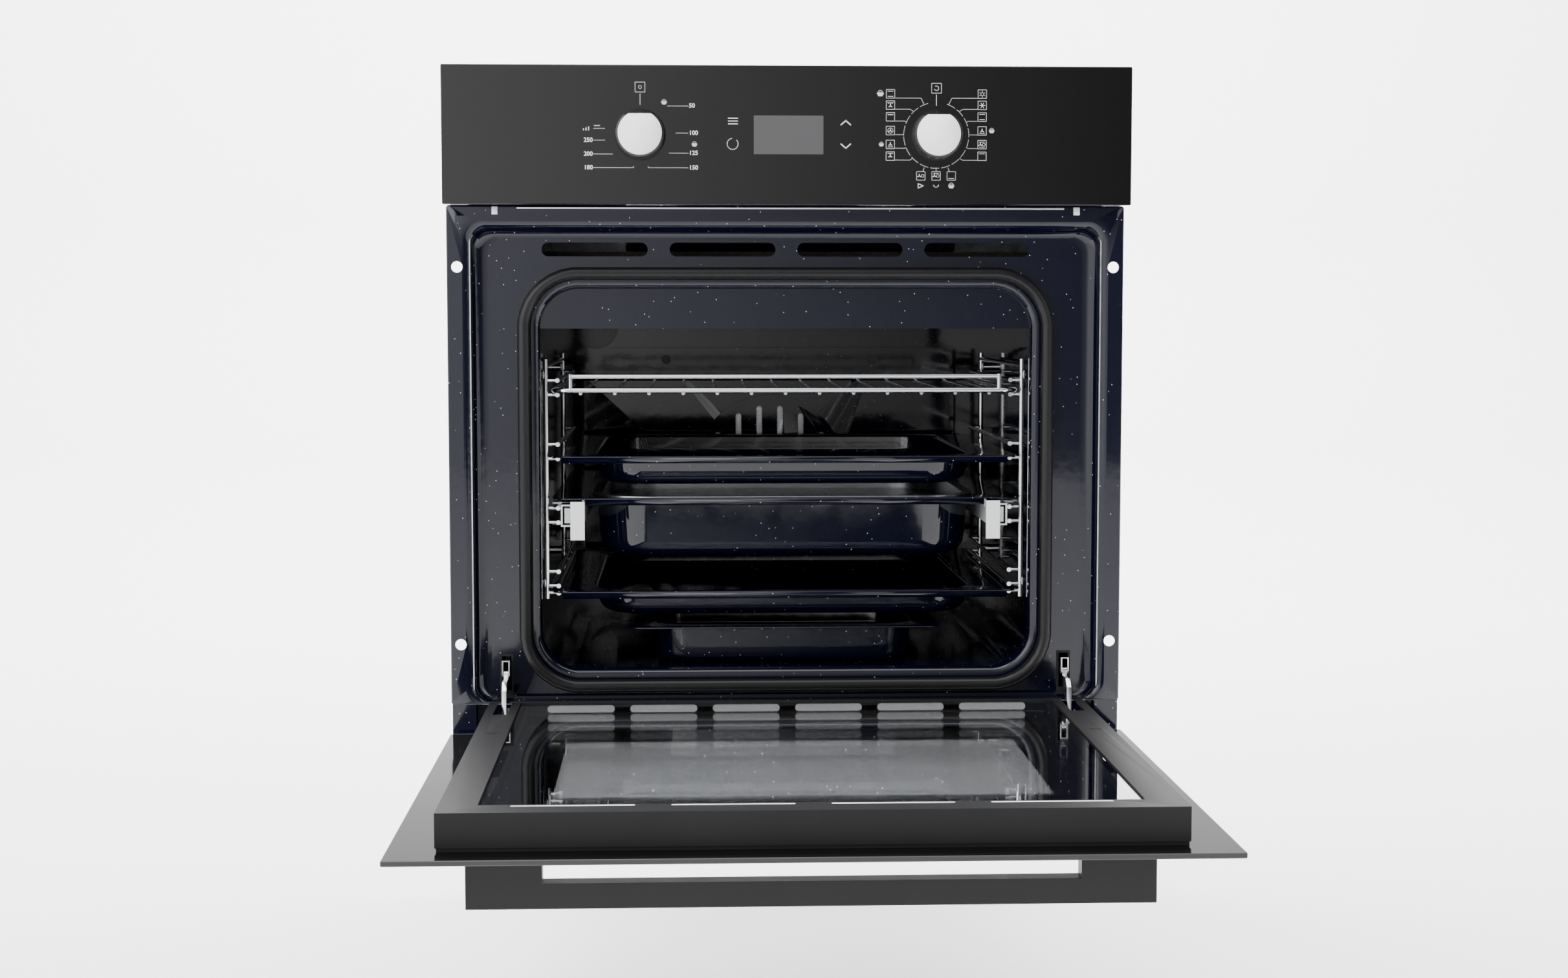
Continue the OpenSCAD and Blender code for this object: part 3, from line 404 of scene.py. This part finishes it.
# Enamelled front: flange, rounded fold down to the pocket's floor, and the mouth's fold
def make_front(paint):
    bm = bmesh.new()
    sizes = [(296.5, 37.4, 476.0, 2.0, 33.0), (296.5, 37.4, 476.0, 2.0, 32.4),
             (296.1, 37.8, 475.6, 2.0, 32.0), (284.0, 37.9, 463.0, 17.0, 32.0)]
    for across, deep in bend((0.0, 0.0), (1.0, 1.0)):
        sizes.append((282.5 - 6.0 * across, 38.2, 461.5 - 5.0 * across, 17.0, 32.2 + 6.8 * deep))
    for across, deep in bend((0.0, 0.0), (1.0, 1.0)):
        sizes.append((276.3 - 9.3 * deep, 38.4, 456.3 - 5.7 * deep, 16.0, 39.2 + 6.8 * across))
    sizes.append((262.0, 45.0, 445.6, 14.0, 46.0))
    sizes.append((226.0, 57.0, 412.0, 43.0, 46.0))
    for across, deep in bend((0.0, 0.0), (1.0, 1.0)):
        sizes.append((223.0 - 4.0 * across, 60.0 + 4.0 * across, 409.0 - 4.0 * across,
                      40.0 - 4.0 * across, 46.0 + 4.0 * deep))
    sizes.append((219.0, 64.0, 405.0, 36.0, 61.5))
    loft(bm, sizes)
    outward(bm)
    front = piece("oven_front", bm, paint["enamel"], "oven_body", "front_frame",
                  slot="blue_enamel")
    thicken(front, 0.9, 1.0)
    return front


def punch(obj, cutter_bm, name):
    """Cuts closed cutter shapes out of a piece and keeps the result as its own mesh."""
    outward(cutter_bm)
    mesh = bpy.data.meshes.new(name)
    cutter_bm.to_mesh(mesh)
    cutter_bm.free()
    cutter = bpy.data.objects.new(name, mesh)
    bpy.context.scene.collection.objects.link(cutter)
    cut = obj.modifiers.new("holes", "BOOLEAN")
    cut.object = cutter
    cut.operation = "DIFFERENCE"
    cut.solver = "EXACT"
    bpy.context.view_layer.update()
    graph = bpy.context.evaluated_depsgraph_get()
    done = bpy.data.meshes.new_from_object(obj.evaluated_get(graph))
    obj.modifiers.clear()
    obj.data = done
    bpy.data.objects.remove(cutter)
    done.set_sharp_from_angle(angle=math.radians(40.0))


def cap_ends(bm, loops):
    """Closes a loft's first and last rings."""
    for loop in (loops[0], loops[-1]):
        bmesh.ops.contextual_create(bm, geom=loop)


def slot_cutter(bm, x, z, wide, high, y0, y1):
    """Round-ended bar through the sheet, for a slot or, where wide equals high, a hole."""
    loops = loft(bm, [(wide / 2, z - high / 2, z + high / 2, high / 2, y0),
                      (wide / 2, z - high / 2, z + high / 2, high / 2, y1)], middle=x)
    cap_ends(bm, loops)


def cut_front(front):
    bm = bmesh.new()
    for side in (-1, 1):
        for z in (90.4, 423.0):
            slot_cutter(bm, side * 288.4, z, 9.8, 9.8, 25.0, 36.0)
        box(bm, side * 249.35 - 6.2, side * 249.35 + 6.2, 40.0, 52.0, 39.5, 79.0)
    for step in (-1.5, -0.5, 0.5, 1.5):
        slot_cutter(bm, step * 112.6, 438.6, 93.3, 12.2, 40.0, 52.0)
    punch(front, bm, "front_holes")


def make_gasket(paint):
    """Round rubber tube on a foot, all round the mouth."""
    bm = bmesh.new()
    tube = []
    for step in range(20):
        turn = 2 * math.pi * step / 20
        off, y = 5.75 * math.cos(turn), 36.15 + 5.75 * math.sin(turn)
        tube.append((231.25 + off, 51.75 - off, 417.25 + off, 48.2 + off, y))
    loft(bm, tube, closed=True)
    loft(bm, [(w, 51.75 - (w - 231.25), 417.25 + w - 231.25, 48.2 + w - 231.25, y)
              for w, y in ((227.5, 39.5), (227.5, 45.0), (225.5, 45.9), (237.0, 45.9),
                           (235.0, 45.0), (235.0, 39.5))], closed=True)
    outward(bm)
    piece("gasket_tube", bm, paint["rubber"], "oven_body", "door_gasket", slot="gasket_rubber")


# Enamelled trays: rolled rim, rounded well and lips front and back
def make_tray(name, body, node, paint, rim, well, half=209.7, near=60.0, far=430.0, inset=39.7,
              ends=14.0, corner=45.0, lip=None):
    bm = bmesh.new()
    base = max(9.0, corner * 0.28)
    top = rim + 0.5
    sizes = [(half - 0.2, near + 0.2, far - 0.2, 13.8, top - 0.35),
             (half - 0.6, near + 0.6, far - 0.6, 13.4, top), (half - 1.6, near + 1.6, far - 1.6, 12.6, top),
             (half - inset + 2.5, near + ends - 2.5, far - ends + 2.5, corner + 2.5, top)]
    for down, across in bend((0.0, 0.0), (1.0, 1.0), 4):
        sizes.append((half - inset + 2.0 - 2.0 * down, near + ends - 2.0 + 2.0 * down,
                      far - ends + 2.0 - 2.0 * down, corner + 2.0 - 2.0 * down,
                      top - 0.1 - 2.2 * across))
    low = top - well
    draft = well * 0.05
    for down, across in bend((0.0, 0.0), (1.0, 1.0), 6):
        shift = draft + base * across
        sizes.append((half - inset - shift, near + ends + shift, far - ends - shift,
                      corner - shift * 0.7, low + base - base * down))
    loops = loft(bm, sizes, flat=True)
    bmesh.ops.contextual_create(bm, geom=loops[-1])
    outward(bm)
    tray = piece(name, bm, paint["enamel"], body, node, slot="blue_enamel")
    thicken(tray, 0.9, 0.0)
    if lip:
        make_lips(name + "_lips", body, paint, rim + 1.0, lip, near, far)
    return tray


def make_lips(name, body, paint, top, half, near, far):
    """Rolled lips below the rim's front and back edges."""
    bm = bmesh.new()
    for edge, sign in ((near, 1.0), (far, -1.0)):
        start = bm.verts.new(at(-half, edge + sign * 4.0, top))
        verts = [start]
        for across, deep in bend((0.0, 0.0), (1.0, 1.0), 5):
            verts.append(bm.verts.new(at(-half, edge + sign * (2.6 - 2.6 * across), top - 2.6 * deep)))
        verts.append(bm.verts.new(at(-half, edge, top - 6.0)))
        rail = [bm.edges.new(pair) for pair in zip(verts, verts[1:])]
        swept = bmesh.ops.extrude_edge_only(bm, edges=rail)
        moved = [g for g in swept["geom"] if isinstance(g, bmesh.types.BMVert)]
        bmesh.ops.translate(bm, vec=Vector((2 * half * MM, 0, 0)), verts=moved)
    bmesh.ops.recalc_face_normals(bm, faces=bm.faces)
    lips = piece(name, bm, paint["enamel"], body, slot="blue_enamel")
    thicken(lips, 0.9, 0.0)


def make_trays(paint):
    make_tray("upper_tray_shell", "upper_tray", "upper_tray", paint, 253.7, 25.5, lip=200.0)
    make_tray("lower_tray_shell", "lower_tray", "lower_tray", paint, 132.0, 22.5, lip=200.0)
    make_tray("deep_pan_shell", "deep_pan", "deep_pan", paint, 216.1, 53.4, corner=50.0, lip=179.0)
    make_tray("small_pan_shell", "small_pan", "small_pan", paint, 99.3, 34.6, half=141.0,
              far=320.0, inset=24.0, ends=24.0, corner=30.0)


# Glass: fascia and door panes with ground edges; the door's front pane has a smoked window
def plate(bm, half, low, high, radius, y0, y1, ground=0.5, window=None):
    """Flat pane with ground edges; a window (half, low, high) takes the second finish."""
    face = (half - ground, low + ground, high - ground, radius)
    inner = [(*window, 3.0)] if window else []
    sizes = [(*inner[0], y0)] if window else []
    sizes += [(*face, y0), (half, low, high, radius, y0 + ground),
              (half, low, high, radius, y1 - ground), (*face, y1)]
    sizes += [(*inner[0], y1)] if window else []
    loops = loft(bm, sizes)
    for loop in (loops[0], loops[-1]):
        cap = bmesh.ops.contextual_create(bm, geom=loop)["faces"][0]
        cap.material_index = 1 if window else 0


def lay_open(bm):
    """Turns a piece drawn in the closed door's place down to the open door's place."""
    pin = at(0.0, PIN_Y, PIN_Z)
    bmesh.ops.rotate(bm, verts=bm.verts, cent=pin, matrix=Matrix.Rotation(math.pi / 2, 3, "X"))


def make_glass(paint):
    bm = bmesh.new()
    plate(bm, 297.5, 476.0, 595.0, 1.2, 0.0, 4.0)
    outward(bm)
    piece("fascia_plate", bm, paint["black_glass"], "oven_body", "fascia_glass",
          slot="black_glass", smooth=25.0)
    bm = bmesh.new()
    plate(bm, 297.5, 4.0, 472.0, 1.2, 0.0, 4.0, window=(191.0, 75.0, 300.0))
    # The pane's rear face, round the window, has a fired black border
    for face in bm.faces:
        if face.material_index == 0 and face.calc_center_median().y > at(0, 3.9, 0).y:
            face.material_index = 2
    bmesh.ops.recalc_face_normals(bm, faces=bm.faces)
    lay_open(bm)
    piece("door_front_pane", bm, [paint["black_glass"], paint["smoked_glass"], paint["frit"]], "door",
          "door_outer_glass", slot="black_glass", smooth=25.0)
    for name, node, half, low, high, y0, thick in (
        ("door_middle_pane", "door_middle_glass", 233.0, 3.0, 420.0, 15.0, 3.0),
        ("door_inner_pane", "door_inner_glass", 235.0, 2.5, 422.1, 26.0, 4.0),
    ):
        bm = bmesh.new()
        plate(bm, half, low, high, 2.0, y0, y0 + thick, 0.4)
        outward(bm)
        lay_open(bm)
        piece(name, bm, paint["clear_glass"], "door", node, slot="clear_glass", smooth=25.0)


def make_slot_inserts(paint):
    """Pale glowing inserts in the six slots of the foot web and the four of the top rail: painted light
    that stands for the light seen through these slots.
    """
    bm = bmesh.new()
    for step in range(6):
        spot = (step - 2.5) * 73.0
        loops = loft(bm, [(29.6, 18.9, 25.1, 3.1, level) for level in (1.2, 2.3)], flat=True,
                     middle=spot)
        cap_ends(bm, loops)
    for step in range(4):
        loops = loft(bm, [(43.6, 424.4, 427.8, 1.7, level) for level in (29.0, 31.4)],
                     middle=(step - 1.5) * 112.6)
        cap_ends(bm, loops)
    outward(bm)
    lay_open(bm)
    piece("slot_inserts", bm, paint["pale"], "door", smooth=30.0)


def make_air_gap_trim(paint):
    """Steel edge of the air outlet under the fascia, with a bracket near each end."""
    bm = bmesh.new()
    box(bm, -236.0, 244.0, 29.5, 31.4, 473.6, 474.8)
    for side in (-1, 1):
        box(bm, side * 255.0 - 2.6, side * 255.0 + 2.6, 28.5, 31.4, 468.6, 475.4)
    bmesh.ops.bevel(bm, geom=bm.edges[:], offset=0.25 * MM, segments=2, profile=0.5,
                    affect="EDGES", material=-1)
    piece("air_gap_trim", bm, paint["rail"], "oven_body", smooth=30.0, slot="bright_steel")


# Knobs: turned black body with a flat on top, and a silver face brightened by a painted glow
KNOB_FLAT = 17.4
FLAT_WAY = (0, -0.10, 1)


def make_knob(name, body, node, x, paint):
    bm = bmesh.new()
    outline = [(6.0, -0.9), (21.6, -0.9), (21.8, -2.0), (21.2, -4.4), (20.9, -20.2), (20.3, -21.3),
               (19.4, -21.6)]
    verts = [bm.verts.new(at(x + r, y, DIAL_Z)) for r, y in outline]
    edges = [bm.edges.new(pair) for pair in zip(verts, verts[1:])]
    bmesh.ops.spin(bm, geom=verts + edges, cent=at(x, 0, DIAL_Z), axis=(0, 1, 0),
                   angle=2 * math.pi, steps=72, use_merge=True)
    bmesh.ops.remove_doubles(bm, verts=bm.verts, dist=1e-6)
    rim = [e for e in bm.edges if e.is_boundary and e.verts[0].co.y < at(0, -20, 0).y]
    bmesh.ops.contextual_create(bm, geom=rim)
    level = at(x, 0, DIAL_Z + KNOB_FLAT)
    bmesh.ops.bisect_plane(bm, geom=bm.verts[:] + bm.edges[:] + bm.faces[:], dist=1e-6,
                           plane_co=level, plane_no=FLAT_WAY)
    for vert in bm.verts:
        over = (vert.co - level).dot(Vector(FLAT_WAY).normalized())
        if over > 0 and vert.co.y < at(0, -4.6, 0).y:
            vert.co.z -= over
    bmesh.ops.recalc_face_normals(bm, faces=bm.faces)
    piece(name, bm, paint["knob_black"], body, node, slot="knob_finish", smooth=35.0)
    # Silver knob face; its finish carries a painted glow that brightens it
    bm = bmesh.new()
    made = bmesh.ops.create_circle(bm, cap_ends=True, segments=72, radius=18.7 * MM,
                                   matrix=Matrix.Translation(at(x, -21.7, DIAL_Z))
                                   @ Matrix.Rotation(math.pi / 2, 4, "X"))
    for vert in made["verts"]:
        vert.co.z = min(vert.co.z, at(0, 0, DIAL_Z + 16.2).z)
    face = made["verts"][0].link_faces[0]
    bmesh.ops.inset_region(bm, faces=[face], thickness=0.5 * MM)
    bmesh.ops.translate(bm, vec=(0, -0.35 * MM, 0), verts=face.verts)
    bmesh.ops.recalc_face_normals(bm, faces=bm.faces)
    shield = piece(name + "_face", bm, paint["silver"], body, slot="knob_finish", smooth=35.0)
    thicken(shield, 0.4, 0.0)


# Printed marks on the fascia: strokes, rings, numbers and plain symbols
PRINT_Y = -0.05


def stroke(bm, points, width=0.45):
    """Thin printed line through points of x and z."""
    for (x0, z0), (x1, z1) in zip(points, points[1:]):
        reach = math.hypot(x1 - x0, z1 - z0)
        if reach < 1e-6:
            continue
        made = bmesh.ops.create_cube(bm, size=1.0)["verts"]
        bmesh.ops.scale(bm, vec=Vector((reach + width * 0.5, 0.08, width * 0.78)) * MM, verts=made)
        turn = Matrix.Rotation(-math.atan2(z1 - z0, x1 - x0), 3, "Y")
        bmesh.ops.rotate(bm, matrix=turn, verts=made)
        bmesh.ops.translate(bm, vec=at((x0 + x1) / 2, PRINT_Y, (z0 + z1) / 2), verts=made)


def arc(bm, x, z, radius, start, end, width=0.45, steps=10):
    points = []
    for step in range(steps + 1):
        turn = math.radians(start + (end - start) * step / steps)
        points.append((x + radius * math.cos(turn), z + radius * math.sin(turn)))
    stroke(bm, points, width)


def framed(bm, x, z, size=7.3):
    half = size / 2
    stroke(bm, [(x - half, z - half), (x + half, z - half), (x + half, z + half),
                (x - half, z + half), (x - half, z - half)], 0.4)


def fan_mark(bm, x, z, size=1.0):
    for turn in (90, 210, 330):
        way = math.radians(turn)
        stroke(bm, [(x, z), (x + 1.5 * size * math.cos(way), z + 1.5 * size * math.sin(way))],
               0.9 * size)


def heat_marks(bm, x, z, kind):
    """Symbol of one function: lines for the top and bottom heat, teeth for the grill, a fan."""
    if "t" in kind:
        stroke(bm, [(x - 2.2, z + 2.2), (x + 2.2, z + 2.2)])
    if "b" in kind:
        stroke(bm, [(x - 2.2, z - 2.2), (x + 2.2, z - 2.2)])
    if "g" in kind:
        teeth = [(x - 2.4 + 0.8 * i, z + (1.4 if i % 2 else 2.3)) for i in range(7)]
        stroke(bm, teeth, 0.5)
    if "f" in kind:
        fan_mark(bm, x - (1.4 if "o" in kind else 0.0), z - (0.7 if "g" in kind else 0.0))
    if "o" in kind:
        arc(bm, x + 1.5, z, 1.2, 0, 360, 0.45, 12)
    if "s" in kind:
        for turn in (0, 60, 120):
            way = math.radians(turn)
            tip = (2.4 * math.cos(way), 2.4 * math.sin(way))
            stroke(bm, [(x - tip[0], z - tip[1]), (x + tip[0], z + tip[1])], 0.5)
    if "l" in kind:
        arc(bm, x, z, 1.3, 0, 360, 0.4, 12)
        for turn in range(0, 360, 60):
            way = math.radians(turn + 30)
            stroke(bm, [(x + 1.9 * math.cos(way), z + 1.9 * math.sin(way)),
                        (x + 2.6 * math.cos(way), z + 2.6 * math.sin(way))], 0.35)
    if "r" in kind:
        arc(bm, x, z, 2.3, 0, 360, 0.4, 16)
        fan_mark(bm, x, z, 0.9)


def bowl_mark(bm, x, z, size=1.0):
    """Plain covered bowl."""
    for drop in range(4):
        wide = (2.5 - 0.35 * drop) * size
        stroke(bm, [(x - wide, z - 0.6 * drop * size), (x + wide, z - 0.6 * drop * size)], 0.65 * size)
    stroke(bm, [(x - 2.2 * size, z + 0.9 * size), (x + 2.2 * size, z + 0.9 * size)], 0.5 * size)
    arc(bm, x, z + 0.9 * size, 1.6 * size, 20, 160, 0.5 * size, 6)


def make_dial_marks(paint):
    bm = bmesh.new()
    x, z = DIAL_X, DIAL_Z
    left = (("tb", 35.4), ("gf", 25.8), ("g", 15.8), ("r", 4.0), ("fb", -7.8), ("tf", -17.8))
    right = (("l", 35.4), ("s", 25.8), ("tb", 15.8), ("fb", 4.0), ("fotb", -7.8), ("t", -17.8))
    elbows = ((31.8, 13.3, 112), (22.3, 22.8, 134), (12.2, 27.2, 157), (0.5, 28.0, 180),
              (-11.1, 27.4, 202), (-21.2, 22.8, 224))
    for side, column in ((-1, left), (1, right)):
        for (kind, rise), (level, elbow, turn) in zip(column, elbows):
            framed(bm, x + side * 39.7, z + rise)
            heat_marks(bm, x + side * 39.7, z + rise, kind)
            way = math.radians(turn)
            tip = (x - side * 28.2 * math.cos(way), z + 28.2 * math.sin(way))
            stroke(bm, [(x + side * 35.6, z + level), (x + side * elbow, z + level), tip], 0.35)
    for kind, off in (("fo", -13.2), ("tfo", 0.0), ("b", 13.2)):
        framed(bm, x + off, z - 34.7)
        heat_marks(bm, x + off, z - 34.7, kind)
        stroke(bm, [(x + off * 0.86, z - 30.6), (x + off * 0.78, z - 27.6)], 0.35)
    for step in range(17):
        start = 105 + step * 19.4
        arc(bm, x, z, 28.2, start, start + 15.0, 0.4, 5)
    for dial in (-DIAL_X, DIAL_X):
        framed(bm, dial, z + 40.3, 8.4)
        stroke(bm, [(dial, z + 25.4), (dial, z + 34.6)], 0.5)
    arc(bm, x, z + 40.3, 2.0, -150, 120, 0.55, 9)
    arc(bm, -DIAL_X, z + 40.3, 1.3, 0, 360, 0.5, 14)
    bowl_mark(bm, x - 48.5, z + 35.6, 1.1)
    bowl_mark(bm, x + 48.0, z + 4.0, 0.9)
    bowl_mark(bm, x - 47.5, z - 7.8, 0.8)
    bowl_mark(bm, x + 13.2, z - 43.2, 1.0)
    stroke(bm, [(x - 15.5, z - 41.4), (x - 15.5, z - 45.2), (x - 11.0, z - 43.2),
                (x - 15.5, z - 41.4)], 0.8)
    arc(bm, x, z - 42.2, 2.2, 190, 350, 0.8, 8)
    x = -DIAL_X
    for level, inner, outer in ((24.3, 23.4, 41.2), (1.3, 30.5, 41.2), (-15.8, 24.7, 41.2),
                                (-28.3, 6.7, 41.2), (5.1, -30.3, -40.0), (-4.9, -30.3, -40.0),
                                (-16.7, -23.6, -40.0), (-28.3, -5.8, -40.0)):
        stroke(bm, [(x + inner, z + level), (x + outer, z + level)], 0.35)
    for inner in (6.7, -5.8):
        stroke(bm, [(x + inner, z - 28.3), (x + inner, z - 27.0)], 0.35)
    bowl_mark(bm, x + 20.5, z + 27.6, 0.95)
    bowl_mark(bm, x + 46.5, z - 8.2, 0.9)
    heat_marks(bm, x - 37.0, z + 5.6, "g")
    for bar in range(3):
        stroke(bm, [(x - 48.5 + 2.2 * bar, z + 3.6), (x - 48.5 + 2.2 * bar, z + 4.8 + 0.8 * bar)], 1.0)
    for rise in (2.4, 0.0, -2.4):
        stroke(bm, [(-51.9, 547.4 + rise), (-43.9, 547.4 + rise)], 0.9)
    for dot in range(17):
        turn = 100 + dot * 18.5
        arc(bm, -48.2, 527.9, 4.7, turn, turn + 6.0, 0.8, 1)
    for z0, up in ((546.2, 1), (526.4, -1)):
        stroke(bm, [(45.2, z0 - 1.7 * up), (49.3, z0 + 1.9 * up), (53.4, z0 - 1.7 * up)], 1.2)
    piece("fascia_marks", bm, paint["print"], "oven_body", smooth=30.0)


def make_dial_numbers(paint):
    """Degrees round the left dial, as flat figures joined into one mesh."""
    bm = bmesh.new()
    labels = (("50", 41.8, 24.6, "LEFT"), ("100", 41.8, 1.4, "LEFT"), ("125", 41.8, -15.7, "LEFT"),
              ("150", 41.8, -28.2, "LEFT"), ("250", -40.6, -4.8, "RIGHT"),
              ("200", -40.6, -16.6, "RIGHT"), ("180", -40.6, -28.2, "RIGHT"))
    for text, across, rise, side in labels:
        curve = bpy.data.curves.new("figures", "FONT")
        curve.body = text
        curve.size = 5.2 * MM
        curve.align_x = side
        curve.align_y = "CENTER"
        curve.extrude = 0.04 * MM
        curve.offset = 0.08 * MM
        curve.resolution_u = 4
        figure = bpy.data.objects.new("figures", curve)
        bpy.context.scene.collection.objects.link(figure)
        graph = bpy.context.evaluated_depsgraph_get()
        mesh = bpy.data.meshes.new_from_object(figure.evaluated_get(graph))
        spot = at(-DIAL_X + across, PRINT_Y, DIAL_Z + rise)
        mesh.transform(Matrix.Translation(spot) @ Matrix.Rotation(math.pi / 2, 4, "X"))
        bm.from_mesh(mesh)
        bpy.data.objects.remove(figure)
        bpy.data.meshes.remove(mesh)
        bpy.data.curves.remove(curve)
    piece("dial_numbers", bm, paint["print"], "oven_body", smooth=30.0)


# Carried-over CAD nodes: finish, and softened edges where the part is thick enough
def paint_nodes(paint):
    kept = {
        "enamel": ("cavity", "lower_front_panel", "grill_shield"),
        "chrome": ("wire_rack", "side_rack_left", "side_rack_right", "rack_studs", "hinge_pins"),
        "bright": ("rail_bases", "convection_fan", "cooling_duct", "handle_screws",
                   "hinge_springs", "perforated_insert"),
        "zinc": ("top_cover", "side_panel_left", "side_panel_right", "rear_panel", "base_plate",
                 "fan_motor", "cooling_motor"),
        "satin": ("fascia_housing", "cooling_fan", "hinge_receiver_left", "hinge_receiver_right"),
        "heater": ("fan_cover_screws", "grill_element", "ring_element", "base_element"),
        "lamp_glass": ("lamp_glass",),
        "clear_glass": ("lamp_bulb",),
        "ceramic": ("lamp_holder",),
        "wool": ("insulation",),
        "cream": ("thermostat", "function_selector", "terminal_box"),
        "board": ("control_board",),
        "display": ("display_module",),
    }
    for look, nodes in kept.items():
        for node in nodes:
            data = NODES[node].data
            data.materials.clear()
            data.materials.append(paint[look])


def make_softened(paint):
    for node, look, body, slot, radius in (
        ("door_frame", "satin", "door", "black_steel", 0.7),
        ("door_handle", "handle", "door", "satin_black_handle", 1.2),
        ("hinge_housings", "chrome", "door", "chrome_wire", 0.25),
        ("hinge_arm_left", "chrome", "oven_body", "chrome_wire", 0.4),
        ("hinge_arm_right", "chrome", "oven_body", "chrome_wire", 0.4),
        ("hinge_latch_left", "chrome", "latch_left", "chrome_wire", 0.25),
        ("hinge_latch_right", "chrome", "latch_right", "chrome_wire", 0.25),
        ("rail_slide_left", "rail", "deep_pan", "bright_steel", 0.45),
        ("rail_slide_right", "rail", "deep_pan", "bright_steel", 0.45),
        ("fan_cover", "enamel", "oven_body", "blue_enamel", 0.4),
    ):
        softened(node, paint[look], body, slot, radius)


def make_display(paint):
    """Display's own window, just proud of the fascia's face."""
    bm = bmesh.new()
    plate(bm, 30.0, 519.2, 552.2, 0.4, -0.12, -0.02, 0.03)
    outward(bm)
    piece("display_window", bm, paint["display"], "oven_body", smooth=25.0, slot="display")


def make_studio():
    bm = bmesh.new()
    verts = [bm.verts.new(co) for co in ((-9, -7, FLOOR), (-9, 3.0, FLOOR))]
    edges = [bm.edges.new(verts)]
    curve = [(4.0, 0.25), (4.7, 0.9), (5.0, 2.0), (5.1, 5.0)]
    for y, rise in curve:
        verts.append(bm.verts.new((-9, y, FLOOR + rise)))
        edges.append(bm.edges.new(verts[-2:]))
    swept = bmesh.ops.extrude_edge_only(bm, edges=edges)["geom"]
    moved = [g for g in swept if isinstance(g, bmesh.types.BMVert)]
    bmesh.ops.translate(bm, vec=(18, 0, 0), verts=moved)
    mesh = bpy.data.meshes.new("studio_floor")
    bm.to_mesh(mesh)
    bm.free()
    mesh.shade_smooth()
    floor = bpy.data.objects.new("studio_floor", mesh)
    floor.data.materials.append(finish("studio_white", GRAIN, (0.90, 0.90, 0.90),
                                       (0.89, 0.89, 0.89), 0.7, 0.8, 40.0,
                                       Emission_Color=(1.0, 1.0, 1.0, 1.0),
                                       Emission_Strength=0.8))
    bpy.context.scene.collection.objects.link(floor)
    make_sky()
    add_light("key_left", (-2.4, -2.6, 1.3), (0.0, 0.0, 0.1), (2.2, 2.2), 42.0)
    add_light("top_soft", (0.2, -0.5, 2.4), (0.0, 0.0, 0.0), (2.6, 2.0), 60.0)
    add_light("fill_right", (2.2, -2.0, 0.9), (0.0, 0.0, 0.0), (1.0, 1.6), 10.0)
    add_light("backdrop_wash", (0.0, 1.8, 3.4), (0.0, 4.6, 0.4), (6.0, 1.5), 900.0)


def make_sky():
    """Studio light from all round, bright on the left and falling off to the right."""
    world = bpy.data.worlds.new("studio")
    world.use_nodes = True
    tree = world.node_tree
    back = tree.nodes["Background"]
    way = tree.nodes.new("ShaderNodeTexCoord")
    split = tree.nodes.new("ShaderNodeSeparateXYZ")
    fall = tree.nodes.new("ShaderNodeMapRange")
    fall.interpolation_type = "SMOOTHSTEP"
    for label, value in (("From Min", -0.32), ("From Max", 0.26), ("To Min", 2.3), ("To Max", 0.16)):
        fall.inputs[label].default_value = value
    tree.links.new(way.outputs["Generated"], split.inputs[0])
    tree.links.new(split.outputs["X"], fall.inputs["Value"])
    tree.links.new(fall.outputs[0], back.inputs["Strength"])
    back.inputs["Color"].default_value = (1.0, 1.0, 1.0, 1.0)
    bpy.context.scene.world = world


add_camera()
paint = make_finishes()
paint_nodes(paint)
make_softened(paint)
front = make_front(paint)
cut_front(front)
make_gasket(paint)
make_trays(paint)
make_glass(paint)
make_slot_inserts(paint)
make_air_gap_trim(paint)
make_knob("left_knob", "temperature_knob", "temperature_knob", -DIAL_X, paint)
make_knob("right_knob", "function_knob", "function_knob", DIAL_X, paint)
make_display(paint)
make_dial_marks(paint)
make_dial_numbers(paint)
make_studio()
